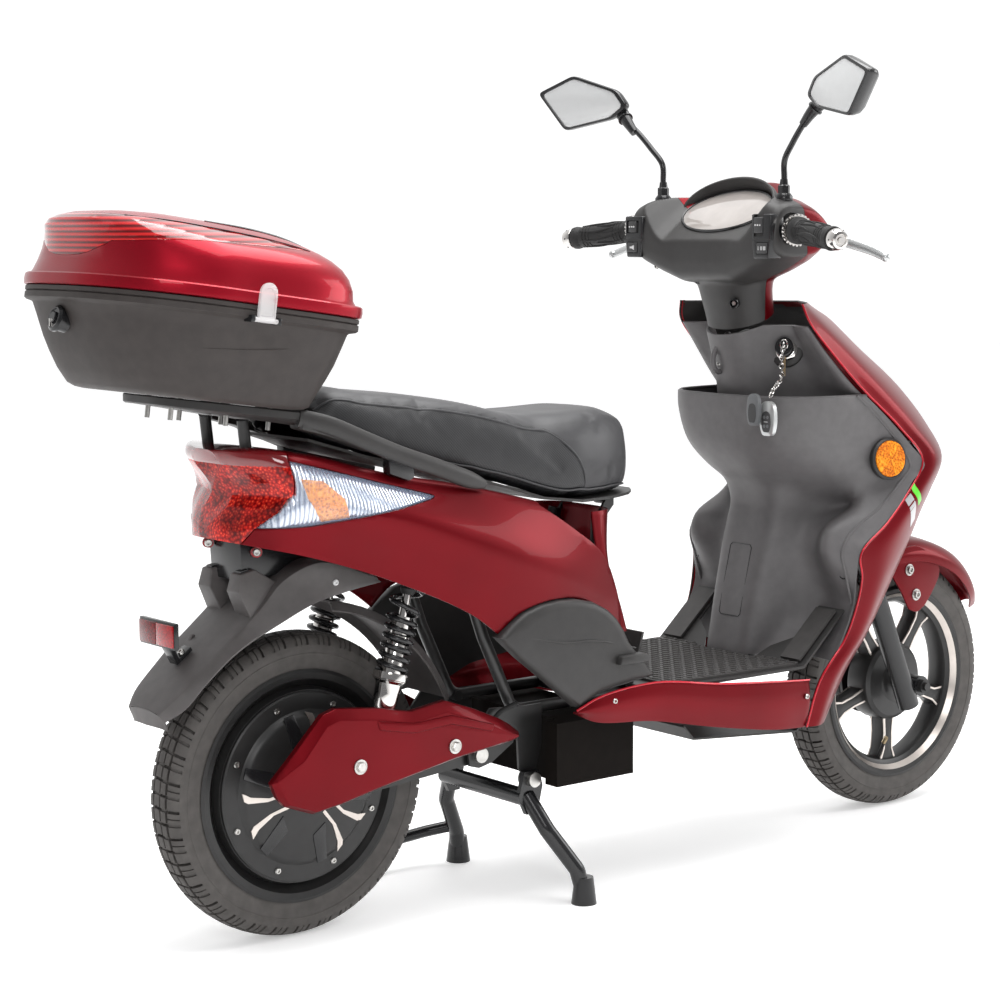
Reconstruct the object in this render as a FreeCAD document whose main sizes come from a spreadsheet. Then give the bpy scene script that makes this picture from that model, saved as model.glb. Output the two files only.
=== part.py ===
"""Electric moped scooter with a top box, drawn from the rear axle forward and placed in the row frame.

x runs forward from the rear axle, y to the rider's left, z up from the ground, all in millimetres.
One placement at the end moves every sub-part so that the origin lies on the ground midway along.
"""
import FreeCAD
import Part
import math
import os
import Sketcher

V = FreeCAD.Vector
doc = FreeCAD.newDocument("moped_scooter")
sheet = doc.addObject("Spreadsheet::Sheet", "dims")

DIMENSIONS = {
    # wheels and stance
    "origin_x": 539.7, "wheelbase": 1217, "wheel_radius": 215, "bead_radius": 158, "tyre_half_width": 33,
    "tyre_wall": 7, "rim_half_width": 29, "rim_wall": 6, "axle_radius": 7, "arm_length": 269,
    # steering
    "rake_deg": 24, "fork_offset": 63, "leg_offset": 33, "leg_spread": 75, "leg_radius": 18,
    "stanchion_radius": 13, "stem_radius": 12, "head_tube_radius": 23, "head_bore": 17,
    # handlebar
    "bar_radius": 11, "grip_radius": 16.5, "grip_length": 112, "bar_half_width": 318,
    # shell
    "panel": 3, "gap": 1, "half_width": 178, "floor_z": 304, "mat": 4,
    # rear suspension
    "pivot_x": 269, "pivot_z": 231, "bolt_radius": 6, "boss_radius": 14, "running_gap": 0.05,
    "shock_top_x": 155, "shock_top_z": 540, "shock_foot_x": 90, "shock_foot_z": 300, "shock_y": 92,
    "coil_radius": 20, "coil_wire": 3.5,
    # stand
    "stand_x": 358, "stand_z": 184, "foot_x": 412, "foot_y": 152,
    # top box
    "box_tilt_deg": 8, "box_x": -175, "box_z": 763, "box_wall": 3, "box_base_height": 128,
    "box_lip": 16, "box_lid_height": 108,
}
for row, (alias, number) in enumerate(DIMENSIONS.items(), 1):
    sheet.set(f"A{row}", alias)
    sheet.set(f"B{row}", str(number))
    sheet.setAlias(f"B{row}", alias)
doc.recompute()


class Size:
    """A length that keeps the sheet expression it came from, for setExpression."""

    def __init__(self, value, text):
        self.value, self.text = float(value), text

    def join(self, other, sign, result):
        return Size(result, f"({self.text} {sign} {text_of(other)})")

    def __add__(self, other):
        return self.join(other, "+", self.value + value_of(other))

    def __sub__(self, other):
        return self.join(other, "-", self.value - value_of(other))

    def __mul__(self, other):
        return self.join(other, "*", self.value * value_of(other))

    def __neg__(self):
        return Size(-self.value, f"(-1 * {self.text})")


def value_of(size):
    return size.value if isinstance(size, Size) else float(size)


def text_of(size):
    return size.text if isinstance(size, Size) else repr(float(size))


def dim(alias):
    return Size(sheet.get(alias), f"dims.{alias}")


def mm(alias):
    return float(sheet.get(alias))


def bind(thing, path, size):
    """Sets a property or constraint from a number, or ties it to the sheet."""
    if isinstance(size, Size):
        thing.setExpression(path, size.text)
    else:
        setattr(thing, path, size)


# ---------------------------------------------------------------- sub-part bookkeeping
SUBPARTS = []
SHIFT = FreeCAD.Placement(V(-mm("origin_x"), 0, 0), FreeCAD.Rotation())
RIGHT, LEFT = -1, 1


def keep(thing, label, place=FreeCAD.Placement()):
    """Names a sub-part and puts it in the row frame."""
    thing.Label = label
    thing.Placement = SHIFT.multiply(place)
    SUBPARTS.append(thing)
    return thing


def keep_shape(label, *shapes):
    """A sub-part made with Part's own functions, as one compound of its separate solids."""
    solids = [s for shape in shapes for s in shape.Solids]
    thing = doc.addObject("Part::Feature", label)
    thing.Shape = Part.makeCompound(solids)
    return keep(thing, label)


# ---------------------------------------------------------------- sketches and bodies
def origin_plane(body, role):
    return next(f for f in body.Origin.OriginFeatures if f.Role == role)


def outline(body, role, corners):
    """A closed polygon sketch on one of the body's origin planes, every corner tied down."""
    sketch = body.newObject("Sketcher::SketchObject", body.Name + "_outline")
    sketch.AttachmentSupport = [(origin_plane(body, role), "")]
    sketch.MapMode = "FlatFace"
    spots = [V(value_of(a), value_of(b), 0) for a, b in corners]
    for here, there in zip(spots, spots[1:] + spots[:1]):
        sketch.addGeometry(Part.LineSegment(here, there), False)
    for i in range(len(spots)):
        sketch.addConstraint(Sketcher.Constraint("Coincident", i, 2, (i + 1) % len(spots), 1))
    for i, corner in enumerate(corners):
        for kind, size in zip(("DistanceX", "DistanceY"), corner):
            at = sketch.addConstraint(Sketcher.Constraint(kind, -1, 1, i, 1, value_of(size)))
            if isinstance(size, Size):
                sketch.setExpression(f"Constraints[{at}]", size.text)
    return sketch


def spun_body(label, corners, place=FreeCAD.Placement()):
    """A ring turned about its own Y axis: corners are (radius, along the axle)."""
    body = doc.addObject("PartDesign::Body", label)
    sketch = outline(body, "XY_Plane", corners)
    turn = body.newObject("PartDesign::Revolution", label + "_turn")
    turn.Profile = sketch
    turn.ReferenceAxis = (sketch, ["V_Axis"])
    turn.Angle = 360
    sketch.Visibility = False
    return keep(body, label, place)


def plate_body(label, role, corners, thickness, place=FreeCAD.Placement()):
    """A flat plate padded from a polygon on an origin plane."""
    body = doc.addObject("PartDesign::Body", label)
    sketch = outline(body, role, corners)
    pad = body.newObject("PartDesign::Pad", label + "_pad")
    pad.Profile = sketch
    bind(pad, "Length", thickness)
    return keep(body, label, place)


# ---------------------------------------------------------------- plain shape helpers
def mirrored(shape):
    return shape.mirror(V(0, 0, 0), V(0, 1, 0))


def both(shape):
    return [shape, mirrored(shape)]


def rod(start, end, radius, bore=0):
    run = end - start
    body = Part.makeCylinder(radius, run.Length, start, run)
    return body.cut(Part.makeCylinder(bore, run.Length, start, run)) if bore else body


def cross_rod(x, z, y0, y1, radius, bore=0):
    return rod(V(x, y0, z), V(x, y1, z), radius, bore)


def block(x0, x1, y0, y1, z0, z1):
    return Part.makeBox(x1 - x0, y1 - y0, z1 - z0, V(x0, y0, z0))


def tube(points, radius, bend):
    """A round bar along straight runs joined by tangent arcs of one bend radius."""
    edges, here = [], points[0]
    for before, corner, after in zip(points, points[1:], points[2:]):
        back, on = (before - corner).normalize(), (after - corner).normalize()
        half = back.getAngle(on) / 2
        cut = bend / math.tan(half)
        first, last = corner + back * cut, corner + on * cut
        middle = corner + (back + on).normalize() * (bend / math.sin(half) - bend)
        edges += [Part.LineSegment(here, first).toShape(), Part.Arc(first, middle, last).toShape()]
        here = last
    edges.append(Part.LineSegment(here, points[-1]).toShape())
    path = Part.Wire(edges)
    ring = Part.Wire(Part.makeCircle(radius, points[0], points[1] - points[0]))
    return path.makePipeShell([ring], True, True)


def polygon(points):
    return Part.makePolygon(list(points) + [points[0]])


def side_prism(corners, y0, y1):
    """A side-view outline of (x, z) corners, from y0 across to y1."""
    face = Part.Face(polygon([V(x, y0, z) for x, z in corners]))
    return face.extrude(V(0, y1 - y0, 0))


def plan_prism(corners, z0, z1):
    """A plan-view outline of (x, y) corners, from z0 up to z1."""
    face = Part.Face(polygon([V(x, y, z0) for x, y in corners]))
    return face.extrude(V(0, 0, z1 - z0))


def loft(loops, ruled=True):
    return Part.makeLoft([polygon(loop) for loop in loops], True, ruled)


def symmetric(corners):
    """Right-hand (along, y) corners from the keel outwards, mirrored to a full outline."""
    return list(corners) + [(a, -y) for a, y in reversed(corners) if abs(y) > 0.01]


def between(table, at):
    """Straight-line reading of a table of (station, value) rows."""
    for (a, low), (b, high) in zip(table, table[1:]):
        if at <= b:
            break
    return low + (high - low) * (at - a) / (b - a)


# ---------------------------------------------------------------- steering axis
RAKE = math.radians(mm("rake_deg"))
UP_AXIS = V(-math.sin(RAKE), 0, math.cos(RAKE))
AHEAD = V(math.cos(RAKE), 0, math.sin(RAKE))
FRONT_AXLE = V(mm("wheelbase"), 0, mm("wheel_radius"))
AXIS_FOOT = FRONT_AXLE - AHEAD * mm("fork_offset")


def on_axis(height, ahead=0, y=0):
    """A point at a height along the steering axis, moved ahead of it and sideways."""
    return AXIS_FOOT + UP_AXIS * height + AHEAD * ahead + V(0, y, 0)


# ---------------------------------------------------------------- wheels
def tyre(label, place):
    """Tyre cross-section as a ring: crown, shoulder, wall and bead, with a hollow inside."""
    crown, bead, half, wall = dim("wheel_radius"), dim("bead_radius"), dim("tyre_half_width"), dim("tyre_wall")
    outside = [(crown, 0), (crown - 2, half * 0.45), (crown - 8, half * 0.8), (crown - 18, half),
               (crown - 32, half), (bead + 8, half - 5), (bead, half - 6)]
    inside = [(bead, half - 6 - wall), (bead + 10, half - 5 - wall), (crown - 32, half - wall),
              (crown - 16, half - wall - 2), (crown - 10, half * 0.4), (crown - 9, 0)]
    corners = outside + inside + [(r, -y) for r, y in reversed(inside[:-1])]
    corners += [(r, -y) for r, y in reversed(outside[1:])]
    return spun_body(label, corners, place)


def turned(corners, mirror=True):
    """A solid of revolution about Y from half a section of (radius, y) corners."""
    full = list(corners) + ([(r, -y) for r, y in reversed(corners) if y > 0.01] if mirror else [])
    face = Part.Face(polygon([V(r, y, 0) for r, y in full]))
    return face.revolve(V(0, 0, 0), V(0, 1, 0), 360)


def rim_section(inner):
    """Half of a closed rim section, from the centre line round to the flange and back."""
    bead, half, wall = mm("bead_radius") - 0.3, mm("rim_half_width"), mm("rim_wall")
    return [(bead - 14, 0), (bead - 14, half - 15), (bead - 1, half - 9), (bead - 0.2, half - 0.8),
            (bead + 6, half - 0.4), (bead + 6, half + 2.5), (bead - 8, half + 1.5),
            (inner, half - 10), (inner, 0)]


def front_wheel():
    """Cast wheel: rim, five spokes and a drum hub, bored for the axle."""
    rim = turned(rim_section(134))
    bore = mm("axle_radius") + mm("running_gap")
    hub = turned([(bore, 0), (bore, 34), (30, 34), (34, 30), (62, 26), (68, 18), (68, 0)])
    spoke_turn, first_spoke, count = 360 / 5, 53, 5
    arms = []
    for i in range(count):
        arm = block(60, 140, -11, 11, -13, 13)
        arm.rotate(V(0, 0, 0), V(0, 1, 0), -(first_spoke + i * spoke_turn))
        arms.append(arm)
    wheel = rim.multiFuse([hub] + arms).removeSplitter()
    return wheel.translated(FRONT_AXLE)


def hub_motor():
    """Rear rim cast with the motor drum, and a bolted cover each side."""
    drum = turned([(118, 0), (118, 33), (136, 33), (136, 18), (mm("bead_radius") - 14.3, 13), (mm("bead_radius") - 14.3, 0)])
    rim = turned(rim_section(138)).fuse(drum).removeSplitter()
    cover = turned([(20.05, 50), (20.05, 44), (100, 38), (114, 33), (134, 33), (134, 37), (116, 37), (106, 45), (60, 52),
                    (40, 54)], False)
    cover_screws = []
    for i in range(6):
        turn = math.radians(20 + 60 * i)
        across, up = 125 * math.cos(turn), 125 * math.sin(turn)
        head = rod(V(across, 37, up), V(across, 40, up), 4)
        cover_screws.append(head)
    solids = [rim] + both(cover)
    for screw in cover_screws:
        solids += both(screw)
    up = V(0, 0, mm("wheel_radius"))
    return [s.translated(up) for s in solids]


def motor_axle():
    """Fixed axle with the stator it carries, bearings' seats and end nuts."""
    centre = mm("wheel_radius")
    axle = cross_rod(0, centre, -104, 104, mm("axle_radius"))
    stator = cross_rod(0, centre, -28, 28, 108)
    collar = both(cross_rod(0, centre, 28, 68, 20))
    nuts = both(cross_rod(0, centre, 78, 92, 13))
    return axle.multiFuse([stator] + collar + nuts).removeSplitter()


def wheels():
    tyre("rear_tyre", FreeCAD.Placement(V(0, 0, mm("wheel_radius")), FreeCAD.Rotation()))
    tyre("front_tyre", FreeCAD.Placement(FRONT_AXLE, FreeCAD.Rotation()))
    keep_shape("front_wheel", front_wheel())
    keep_shape("hub_motor", *hub_motor())


# ---------------------------------------------------------------- front fork
def fork():
    radius, spread, ahead = mm("leg_radius"), mm("leg_spread"), mm("leg_offset")
    axle = mm("axle_radius")
    legs = []
    for side in (RIGHT, LEFT):
        leg = rod(on_axis(-22, ahead, side * spread), on_axis(235, ahead, side * spread), radius)
        lug = rod(FRONT_AXLE + V(0, side * (spread - 12), 0), FRONT_AXLE + V(0, side * (spread + 12), 0), 17)
        bore = rod(on_axis(120, ahead, side * spread), on_axis(240, ahead, side * spread), mm("stanchion_radius") + mm("running_gap"))
        hole = rod(FRONT_AXLE + V(0, -120, 0), FRONT_AXLE + V(0, 120, 0), axle + mm("running_gap"))
        legs.append(leg.fuse(lug).cut(bore).cut(hole))
    keep_shape("fork_legs", *legs)

    stanchions = [rod(on_axis(190, ahead, s * spread), on_axis(352, ahead, s * spread), mm("stanchion_radius")) for s in (RIGHT, LEFT)]
    crown = Part.makeBox(64, 2 * spread + 44, 24, V(-18, -spread - 22, 0))
    crown.Placement = FreeCAD.Placement(on_axis(340), FreeCAD.Rotation(V(0, 1, 0), -mm("rake_deg")))
    stem = rod(on_axis(352), on_axis(690), mm("stem_radius"))
    keep_shape("fork_stem", stem.multiFuse([crown] + stanchions).removeSplitter())

    spindle = cross_rod(FRONT_AXLE.x, FRONT_AXLE.z, -spread - 26, spread + 26, axle)
    nuts = both(cross_rod(FRONT_AXLE.x, FRONT_AXLE.z, spread + 12, spread + 20, 11))
    spacers = both(cross_rod(FRONT_AXLE.x, FRONT_AXLE.z, 36, spread - 12, 11))
    plate = cross_rod(FRONT_AXLE.x, FRONT_AXLE.z, 36, 42, 64)
    cam = rod(FRONT_AXLE + V(6, 46, -48), FRONT_AXLE + V(6, 58, -48), 8)
    arm = side_prism([(FRONT_AXLE.x + 2, FRONT_AXLE.z - 44), (FRONT_AXLE.x + 12, FRONT_AXLE.z - 42),
                      (FRONT_AXLE.x + 46, FRONT_AXLE.z - 98), (FRONT_AXLE.x + 34, FRONT_AXLE.z - 104)], 42, 48)
    keep_shape("front_axle", spindle.multiFuse(nuts + spacers + [plate, cam, arm]).removeSplitter())


def front_fender():
    """Arched guard that follows the tyre, with a bolted cheek on each leg."""
    reach, wall = mm("wheel_radius") + 22, mm("panel")
    loops = []
    for turn, half in ((118, 52), (100, 58), (80, 60), (60, 58), (45, 50), (33, 34), (26, 10)):
        a = math.radians(turn)
        away = V(math.cos(a), 0, math.sin(a))
        drop = 24 * half / 60
        ridge = [(reach + 10, 0), (reach + 4, half * 0.7), (reach - drop, half), (reach - drop, half - wall),
                 (reach + 4 - wall, half * 0.7 - wall), (reach + 10 - wall, 0)]
        right = [FRONT_AXLE + away * r + V(0, -y, 0) for r, y in ridge[:3]]
        left = [FRONT_AXLE + away * r + V(0, y, 0) for r, y in ridge[2:0:-1]]
        back_left = [FRONT_AXLE + away * r + V(0, y, 0) for r, y in ridge[3:5]]
        back = [FRONT_AXLE + away * r + V(0, -y, 0) for r, y in ridge[5:2:-1]]
        loops.append(right[::-1] + left[::-1] + back_left + back)
    arch = loft(loops)
    x, z = FRONT_AXLE.x, FRONT_AXLE.z
    cheek = side_prism([(x - 62, z + 222), (x + 32, z + 232), (x + 75, z + 190), (x + 40, z + 132), (x - 2, z + 126)], -60, -57)
    screws = [cross_rod(x + dx, z + dz, -66, -60.1, 7) for dx, dz in ((-6, 196), (12, 152))]
    arch = arch.cut(block(x - 200, x + 200, -90, -59.9, z, z + 215)).cut(block(x - 200, x + 200, 59.9, 90, z, z + 215))
    guard = arch.multiFuse(both(cheek))
    keep_shape("front_fender", guard, *(m for s in screws for m in both(s)))


# ---------------------------------------------------------------- handlebar group
GRIP_IN, GRIP_OUT = V(800, 205, 980), V(766, 316, 967)


def along_grip(distance, side=LEFT):
    """A point on the grip's centre line, a distance outboard of its inner end."""
    spot = GRIP_IN + (GRIP_OUT - GRIP_IN).normalize() * distance
    return V(spot.x, side * spot.y, spot.z)


def handlebar():
    clamp = on_axis(845)
    half = tube([V(clamp.x, 0, 962), V(clamp.x, 80, 962), along_grip(-45), along_grip(118)], mm("bar_radius"), 30)
    post = rod(on_axis(690), on_axis(842), 15)
    bar = half.multiFuse([mirrored(half), post]).removeSplitter()
    ends = [rod(along_grip(118.1, s), along_grip(134, s), 14) for s in (RIGHT, LEFT)]
    collars = [rod(along_grip(-6, s), along_grip(1, s), 24, mm("bar_radius") + 0.05) for s in (RIGHT, LEFT)]
    perches = []
    for side in (RIGHT, LEFT):
        ring = rod(along_grip(-30, side), along_grip(-12, side), 17)
        y0, y1 = sorted((side * 178, side * 192))
        horn = block(812, 838, y0, y1, 962, 990)
        for z in (962, 986.1):
            horn = horn.fuse(block(836, 860, y0, y1, z, z + 3.9))
        horn = horn.fuse(rod(V(850, side * 185, 962), V(850, side * 185, 990), 4))
        way = rod(along_grip(-60, side), along_grip(20, side), mm("bar_radius") + 0.05)
        perches.append(ring.fuse(horn).cut(way))
    keep_shape("handlebar", bar, *(ends + collars + perches))
    for label, side in (("left_grip", LEFT), ("throttle_grip", RIGHT)):
        sleeve = rod(along_grip(1.2, side), along_grip(115, side), mm("grip_radius"), mm("bar_radius") + 0.05)
        keep_shape(label, sleeve)


def brake_lever(side):
    """Blade that curves forward and outboard from its pivot, in front of the grip."""
    route = [V(850, side * 185, 976), V(862, side * 205, 972), V(872, side * 250, 958), V(868, side * 312, 941)]
    blade = tube(route, 5, 12)
    tip = Part.makeSphere(7, route[-1])
    pivot = rod(V(850, side * 185, 966), V(850, side * 185, 986), 8)
    way = rod(V(850, side * 185, 960), V(850, side * 185, 992), 4 + mm("running_gap"))
    return blade.multiFuse([tip, pivot]).cut(way).removeSplitter()


def levers():
    keep_shape("left_brake_lever", brake_lever(LEFT))
    keep_shape("right_brake_lever", brake_lever(RIGHT))


NECK_HEIGHT = 716


def bar_cover():
    """Rear and front halves of the handlebar cover, from one skin split by a leaning plane."""
    wall = mm("panel")

    def skin(inset):
        def ring(z, cx, half_x, half_y):
            turns = [math.radians(30 * i) for i in range(12)]
            return [V(cx + (half_x - inset) * math.cos(t), (half_y - inset) * math.sin(t), z) for t in turns]

        neck = loft([ring(812, 874, 45, 64), ring(843, 868, 46, 66), ring(890, 856, 50, 72), ring(940, 846, 62, 90),
                     ring(985, 842, 70, 112), ring(1060 - inset, 862, 62, 96)])

        def wing_end(y, x0, x1, z0, z1):
            return [V(x0 + inset, y, z0 + inset + 18), V(x0 + inset + 8, y, z1 - inset - 12), V(x0 + 24, y, z1 - inset),
                    V(x1 - 20, y, z1 - inset), V(x1 - inset, y, z1 - inset - 24), V(x1 - inset, y, z0 + inset + 16),
                    V(x1 - 26, y, z0 + inset), V(x0 + 20, y, z0 + inset)]

        out = 186 - inset
        wings = loft([wing_end(-out, 778, 878, 930, 1030), wing_end(-110, 776, 892, 920, 1040),
                      wing_end(110, 776, 892, 920, 1040), wing_end(out, 778, 878, 930, 1030)])
        return neck.fuse(wings)

    shell = skin(0).cut(skin(wall))
    bar_ways = [rod(along_grip(-44, s), along_grip(20, s), 18.5) for s in (RIGHT, LEFT)]
    lever_ways = [block(800, 884, s * 187 - 16, s * 187 + 16, 958, 1002) for s in (RIGHT, LEFT)]
    shell = shell.cut(rod(on_axis(600), on_axis(NECK_HEIGHT), 120))
    for way in bar_ways + lever_ways:
        shell = shell.cut(way)
    split = Part.makeBox(600, 800, 800, V(0, -400, -400))
    split.Placement = FreeCAD.Placement(V(864, 0, 940), FreeCAD.Rotation(V(0, 1, 0), -14))
    stretch = FreeCAD.Matrix()
    stretch.scale(55, 97, 1)
    dash_place = FreeCAD.Placement(V(838, 0, 1012), FreeCAD.Rotation(V(0, 1, 0), -37))
    dash = Part.makeCylinder(1, 8).transformGeometry(stretch)
    dash.Placement = dash_place
    dash = Part.makeCompound([dash]).Solids[0]
    opening = Part.makeCylinder(1, 400, V(0, 0, -4)).transformGeometry(stretch)
    opening.Placement = dash_place
    shell = shell.cut(opening)
    stems = [rod(V(826, s * 137, 1000), V(826, s * 137, 1060), 7) for s in (RIGHT, LEFT)]
    for stem in stems:
        shell = shell.cut(stem)
    front = shell.common(split)
    rear = shell.cut(split)
    lamp_way = side_prism([(860, 930), (960, 930), (960, 1000), (860, 1000)], -62, 62)
    lamp = front.common(lamp_way)
    front = front.cut(lamp_way)
    return rear, front, dash, lamp


def biggest(shape):
    return max(shape.Solids, key=lambda s: s.Volume)


def covers():
    rear, front, dash, lamp = bar_cover()
    for way in SWITCH_WAYS.values():
        rear = rear.cut(way)
    keep_shape("rear_bar_cover", biggest(rear))
    keep_shape("front_bar_cover", biggest(front))
    keep_shape("cockpit_lenses", dash, biggest(lamp))


# each control: centre on the rear face of the cover, and its half width and half height
SWITCHES = {
    "indicator_switch": (V(781, 150, 988), 9, 9), "horn_button": (V(781, 150, 955), 11, 8),
    "lamp_switch": (V(781, -138, 990), 9, 12), "speed_switch": (V(781, -146, 955), 11, 8),
}


def switch_block(centre, half_y, half_z, grow=0.0, depth=16):
    return block(centre.x - depth, centre.x + depth, centre.y - half_y - grow, centre.y + half_y + grow,
                 centre.z - half_z - grow, centre.z + half_z + grow)


SWITCH_WAYS = {name: switch_block(c, hy, hz, 4.5 if name in ("indicator_switch", "lamp_switch") else 1, 30)
               for name, (c, hy, hz) in SWITCHES.items()}


def switches():
    for name, (centre, half_y, half_z) in SWITCHES.items():
        keep_shape(name, switch_block(centre, half_y, half_z, 0, 9))


# corners of a mirror face as (outboard, z) for the left one, clockwise from the outer tip
MIRROR_FACE = [(375, 1211), (307, 1238), (222, 1210), (202, 1184), (230, 1164), (322, 1147)]


def mirror_spot(y, z, ahead):
    """A point of the left mirror: its plane turns towards the rider by about 15 degrees."""
    return V(801 - (y - 215) * 0.28 + ahead, y + ahead * 0.27, z)


def mirror_head():
    centre = (288, 1190)

    def loop(share, ahead):
        return [mirror_spot(centre[0] + (y - centre[0]) * share, centre[1] + (z - centre[1]) * share, ahead) for y, z in MIRROR_FACE]

    shell = loft([loop(1.0, 0), loop(1.0, 12), loop(0.55, 34)])
    recess = loft([loop(0.93, -60), loop(0.93, 4)])
    glass = loft([loop(0.925, 0.5), loop(0.925, 4)])
    return shell, recess, glass


def mirrors():
    housing, recess, glass = mirror_head()
    joint = V(811, 206, 1156)
    socket = Part.makeSphere(8.2, joint)
    neck = Part.makeCone(9, 13, 26, joint + V(0, 4, 3), V(-0.02, 0.8, 0.6))
    housing = housing.fuse(neck).cut(recess).cut(Part.makeSphere(8.05, joint))
    keep_shape("left_mirror", housing, glass)
    keep_shape("right_mirror", mirrored(housing), mirrored(glass))
    stalk = tube([V(826, 137, 1026), V(824, 138, 1090), joint], 5, 14)
    nut = rod(V(826, 137, 1044), V(826, 137, 1062), 9)
    boot = Part.makeCone(12, 8, 12, V(826, 137, 1062), V(0, 0, 1))
    stalk = stalk.multiFuse([nut, boot, Part.makeSphere(8, joint)]).removeSplitter()
    keep_shape("mirror_stalks", stalk, mirrored(stalk))


# ---------------------------------------------------------------- frame
HINGE = V(552, 0, 577)
BOX_BOLTS = [(-22, 30), (45, 60), (112, 60)]


def frame():
    """Welded tube frame: head tube, down tube, floor rails, seat rails, plates and hinge lugs."""
    rail_y, rail_z = 75, 285
    head = rod(on_axis(375), on_axis(560), mm("head_tube_radius"))
    down = tube([V(985, 0, 570), V(915, 0, 430), V(905, 0, rail_z), V(560, 0, rail_z)], 14, 40)
    parts = [head, down, cross_rod(560, rail_z, -rail_y, rail_y, 11)]
    pivots = cross_rod(mm("pivot_x"), mm("pivot_z"), -120, 120, mm("bolt_radius") + mm("running_gap"))
    pivots = pivots.fuse(cross_rod(mm("stand_x"), mm("stand_z"), -120, 120, mm("bolt_radius") + mm("running_gap")))
    for side in (RIGHT, LEFT):
        y = side * rail_y
        parts.append(tube([V(560, y, rail_z), V(340, y, rail_z), V(285, y, 400), V(215, y, 590), V(-95, side * 48, 650)], 9, 30))
        parts.append(tube([V(512, side * 60, rail_z), V(512, side * 60, 500), V(522, side * 50, 560)], 8, 20))
        y0, y1 = sorted((side * 82, side * 86))
        swing_plate = side_prism([(248, 246), (252, 216), (269, 211), (292, 216), (332, 240), (352, 292), (290, 296)], y0, y1)
        stand_plate = side_prism([(338, 292), (343, 199), (350, 190), (372, 184), (386, 232), (386, 292)], y0, y1)
        stand_eye = cross_rod(mm("stand_x"), mm("stand_z"), y0, y1, 14)
        parts += [swing_plate, stand_plate, stand_eye, cross_rod(345, rail_z, side * 62, y1 if side > 0 else y0, 8)]
        y0, y1 = sorted((side * 64, side * 70))
        parts.append(side_prism([(145, 530), (160, 528), (222, 560), (218, 592), (200, 596), (150, 552)], y0, y1))
        y0, y1 = sorted((side * 66, side * 106))
        parts.append(cross_rod(mm("shock_top_x"), mm("shock_top_z"), y0, y1, 6))
        parts.append(rod(V(-90, side * 48, 646), V(-100, side * 48, 732), 8))
        y0, y1 = sorted((side * 44, side * 49))
        parts.append(side_prism([(516, 540), (530, 540), (558, 570), (558, 584), (546, 584)], y0, y1))
    parts.append(cross_rod(215, 590, -rail_y, rail_y, 9))
    parts.append(cross_rod(-93, 650, -48, 48, 9))
    parts.append(cross_rod(512, rail_z, -rail_y, rail_y, 8))
    parts.append(cross_rod(HINGE.x, HINGE.z, -49, 49, 4))
    whole = parts[0].multiFuse(parts[1:]).cut(pivots)
    whole = whole.cut(rod(on_axis(340), on_axis(600), mm("head_bore"))).removeSplitter()
    bearings = [rod(on_axis(h), on_axis(h + 9), mm("head_bore"), mm("stem_radius") + mm("running_gap")) for h in (375, 551)]
    keep_shape("main_frame", biggest(whole), *bearings)


def frame_bolts():
    """Swingarm bolt, the stand's two pins and the six bolts of the top box."""
    pivot = cross_rod(mm("pivot_x"), mm("pivot_z"), -94, 94, mm("bolt_radius"))
    heads = both(cross_rod(mm("pivot_x"), mm("pivot_z"), 86, 94, 11))
    bolts = [pivot.multiFuse(heads)]
    stub = cross_rod(mm("stand_x"), mm("stand_z"), 76, 106, mm("bolt_radius"))
    cap = cross_rod(mm("stand_x"), mm("stand_z"), 98.2, 106, 11)
    bolts += both(stub.fuse(cap))
    for x, y in BOX_BOLTS:
        for side in (RIGHT, LEFT):
            shank = rod(V(x, side * y, -30), V(x, side * y, mm("box_wall") + 3), 3.4)
            head = rod(V(x, side * y, mm("box_wall")), V(x, side * y, mm("box_wall") + 5), 7)
            bolts.append(in_box_frame(shank.fuse(head)))
    keep_shape("frame_bolts", *bolts)


# ---------------------------------------------------------------- swingarm, shocks and stand
def swingarm():
    x, z, axle = mm("pivot_x"), mm("pivot_z"), mm("wheel_radius")
    boss = cross_rod(x, z, -80, 80, mm("boss_radius"))
    parts = [boss]
    for side in (RIGHT, LEFT):
        arm = side_prism([(x + 8, z + 12), (x - 30, z + 36), (100, 262), (40, 246), (0, 236), (-22, 215), (0, 194),
                          (60, 200), (x - 30, z - 16), (x, z - 14)], side * 68, side * 78)
        arm = arm.cut(cross_rod(0, axle, -120, 120, mm("axle_radius") + mm("running_gap")))
        ear = side_prism([(70, 238), (110, 238), (100, 312), (80, 312)], side * 68, side * 78)
        y0, y1 = sorted((side * 77, side * 104))
        pin = cross_rod(mm("shock_foot_x"), mm("shock_foot_z"), y0, y1, 5)
        y0, y1 = sorted((side * 77, side * 121.5))
        posts = [cross_rod(px, pz, y0, y1, 5) for px, pz in ((33, 232), (196, 258))]
        parts += [arm, ear, pin] + posts
    whole = parts[0].multiFuse(parts[1:])
    whole = whole.cut(cross_rod(x, z, -120, 120, mm("bolt_radius") + mm("running_gap"))).removeSplitter()
    keep_shape("swingarm", whole, motor_axle())

    edge = [(-106, 249), (-84, 214), (-41, 198), (5, 204), (69, 217), (202, 240), (316, 253), (318, 266), (281, 288),
            (185, 326), (126, 318), (75, 329), (-2, 338), (-23, 332)]
    cover = side_prism(edge, -125, -107)
    middle = (110, 265)
    inner = [(middle[0] + (px - middle[0]) * 0.97, middle[1] + (pz - middle[1]) * 0.92) for px, pz in edge]
    cover = cover.cut(side_prism(inner, -121.5, -100))
    screws = [cross_rod(px, pz, -129, -125, 8) for px, pz in ((33, 254), (196, 260))]
    keep_shape("swingarm_covers", *(m for s in [cover] + screws for m in both(s)))


def shock_line(distance, y=0):
    """A point down the shock's axis, a distance below its top eye."""
    top = V(mm("shock_top_x"), 0, mm("shock_top_z"))
    foot = V(mm("shock_foot_x"), 0, mm("shock_foot_z"))
    return top + (foot - top).normalize() * distance + V(0, y, 0)


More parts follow.
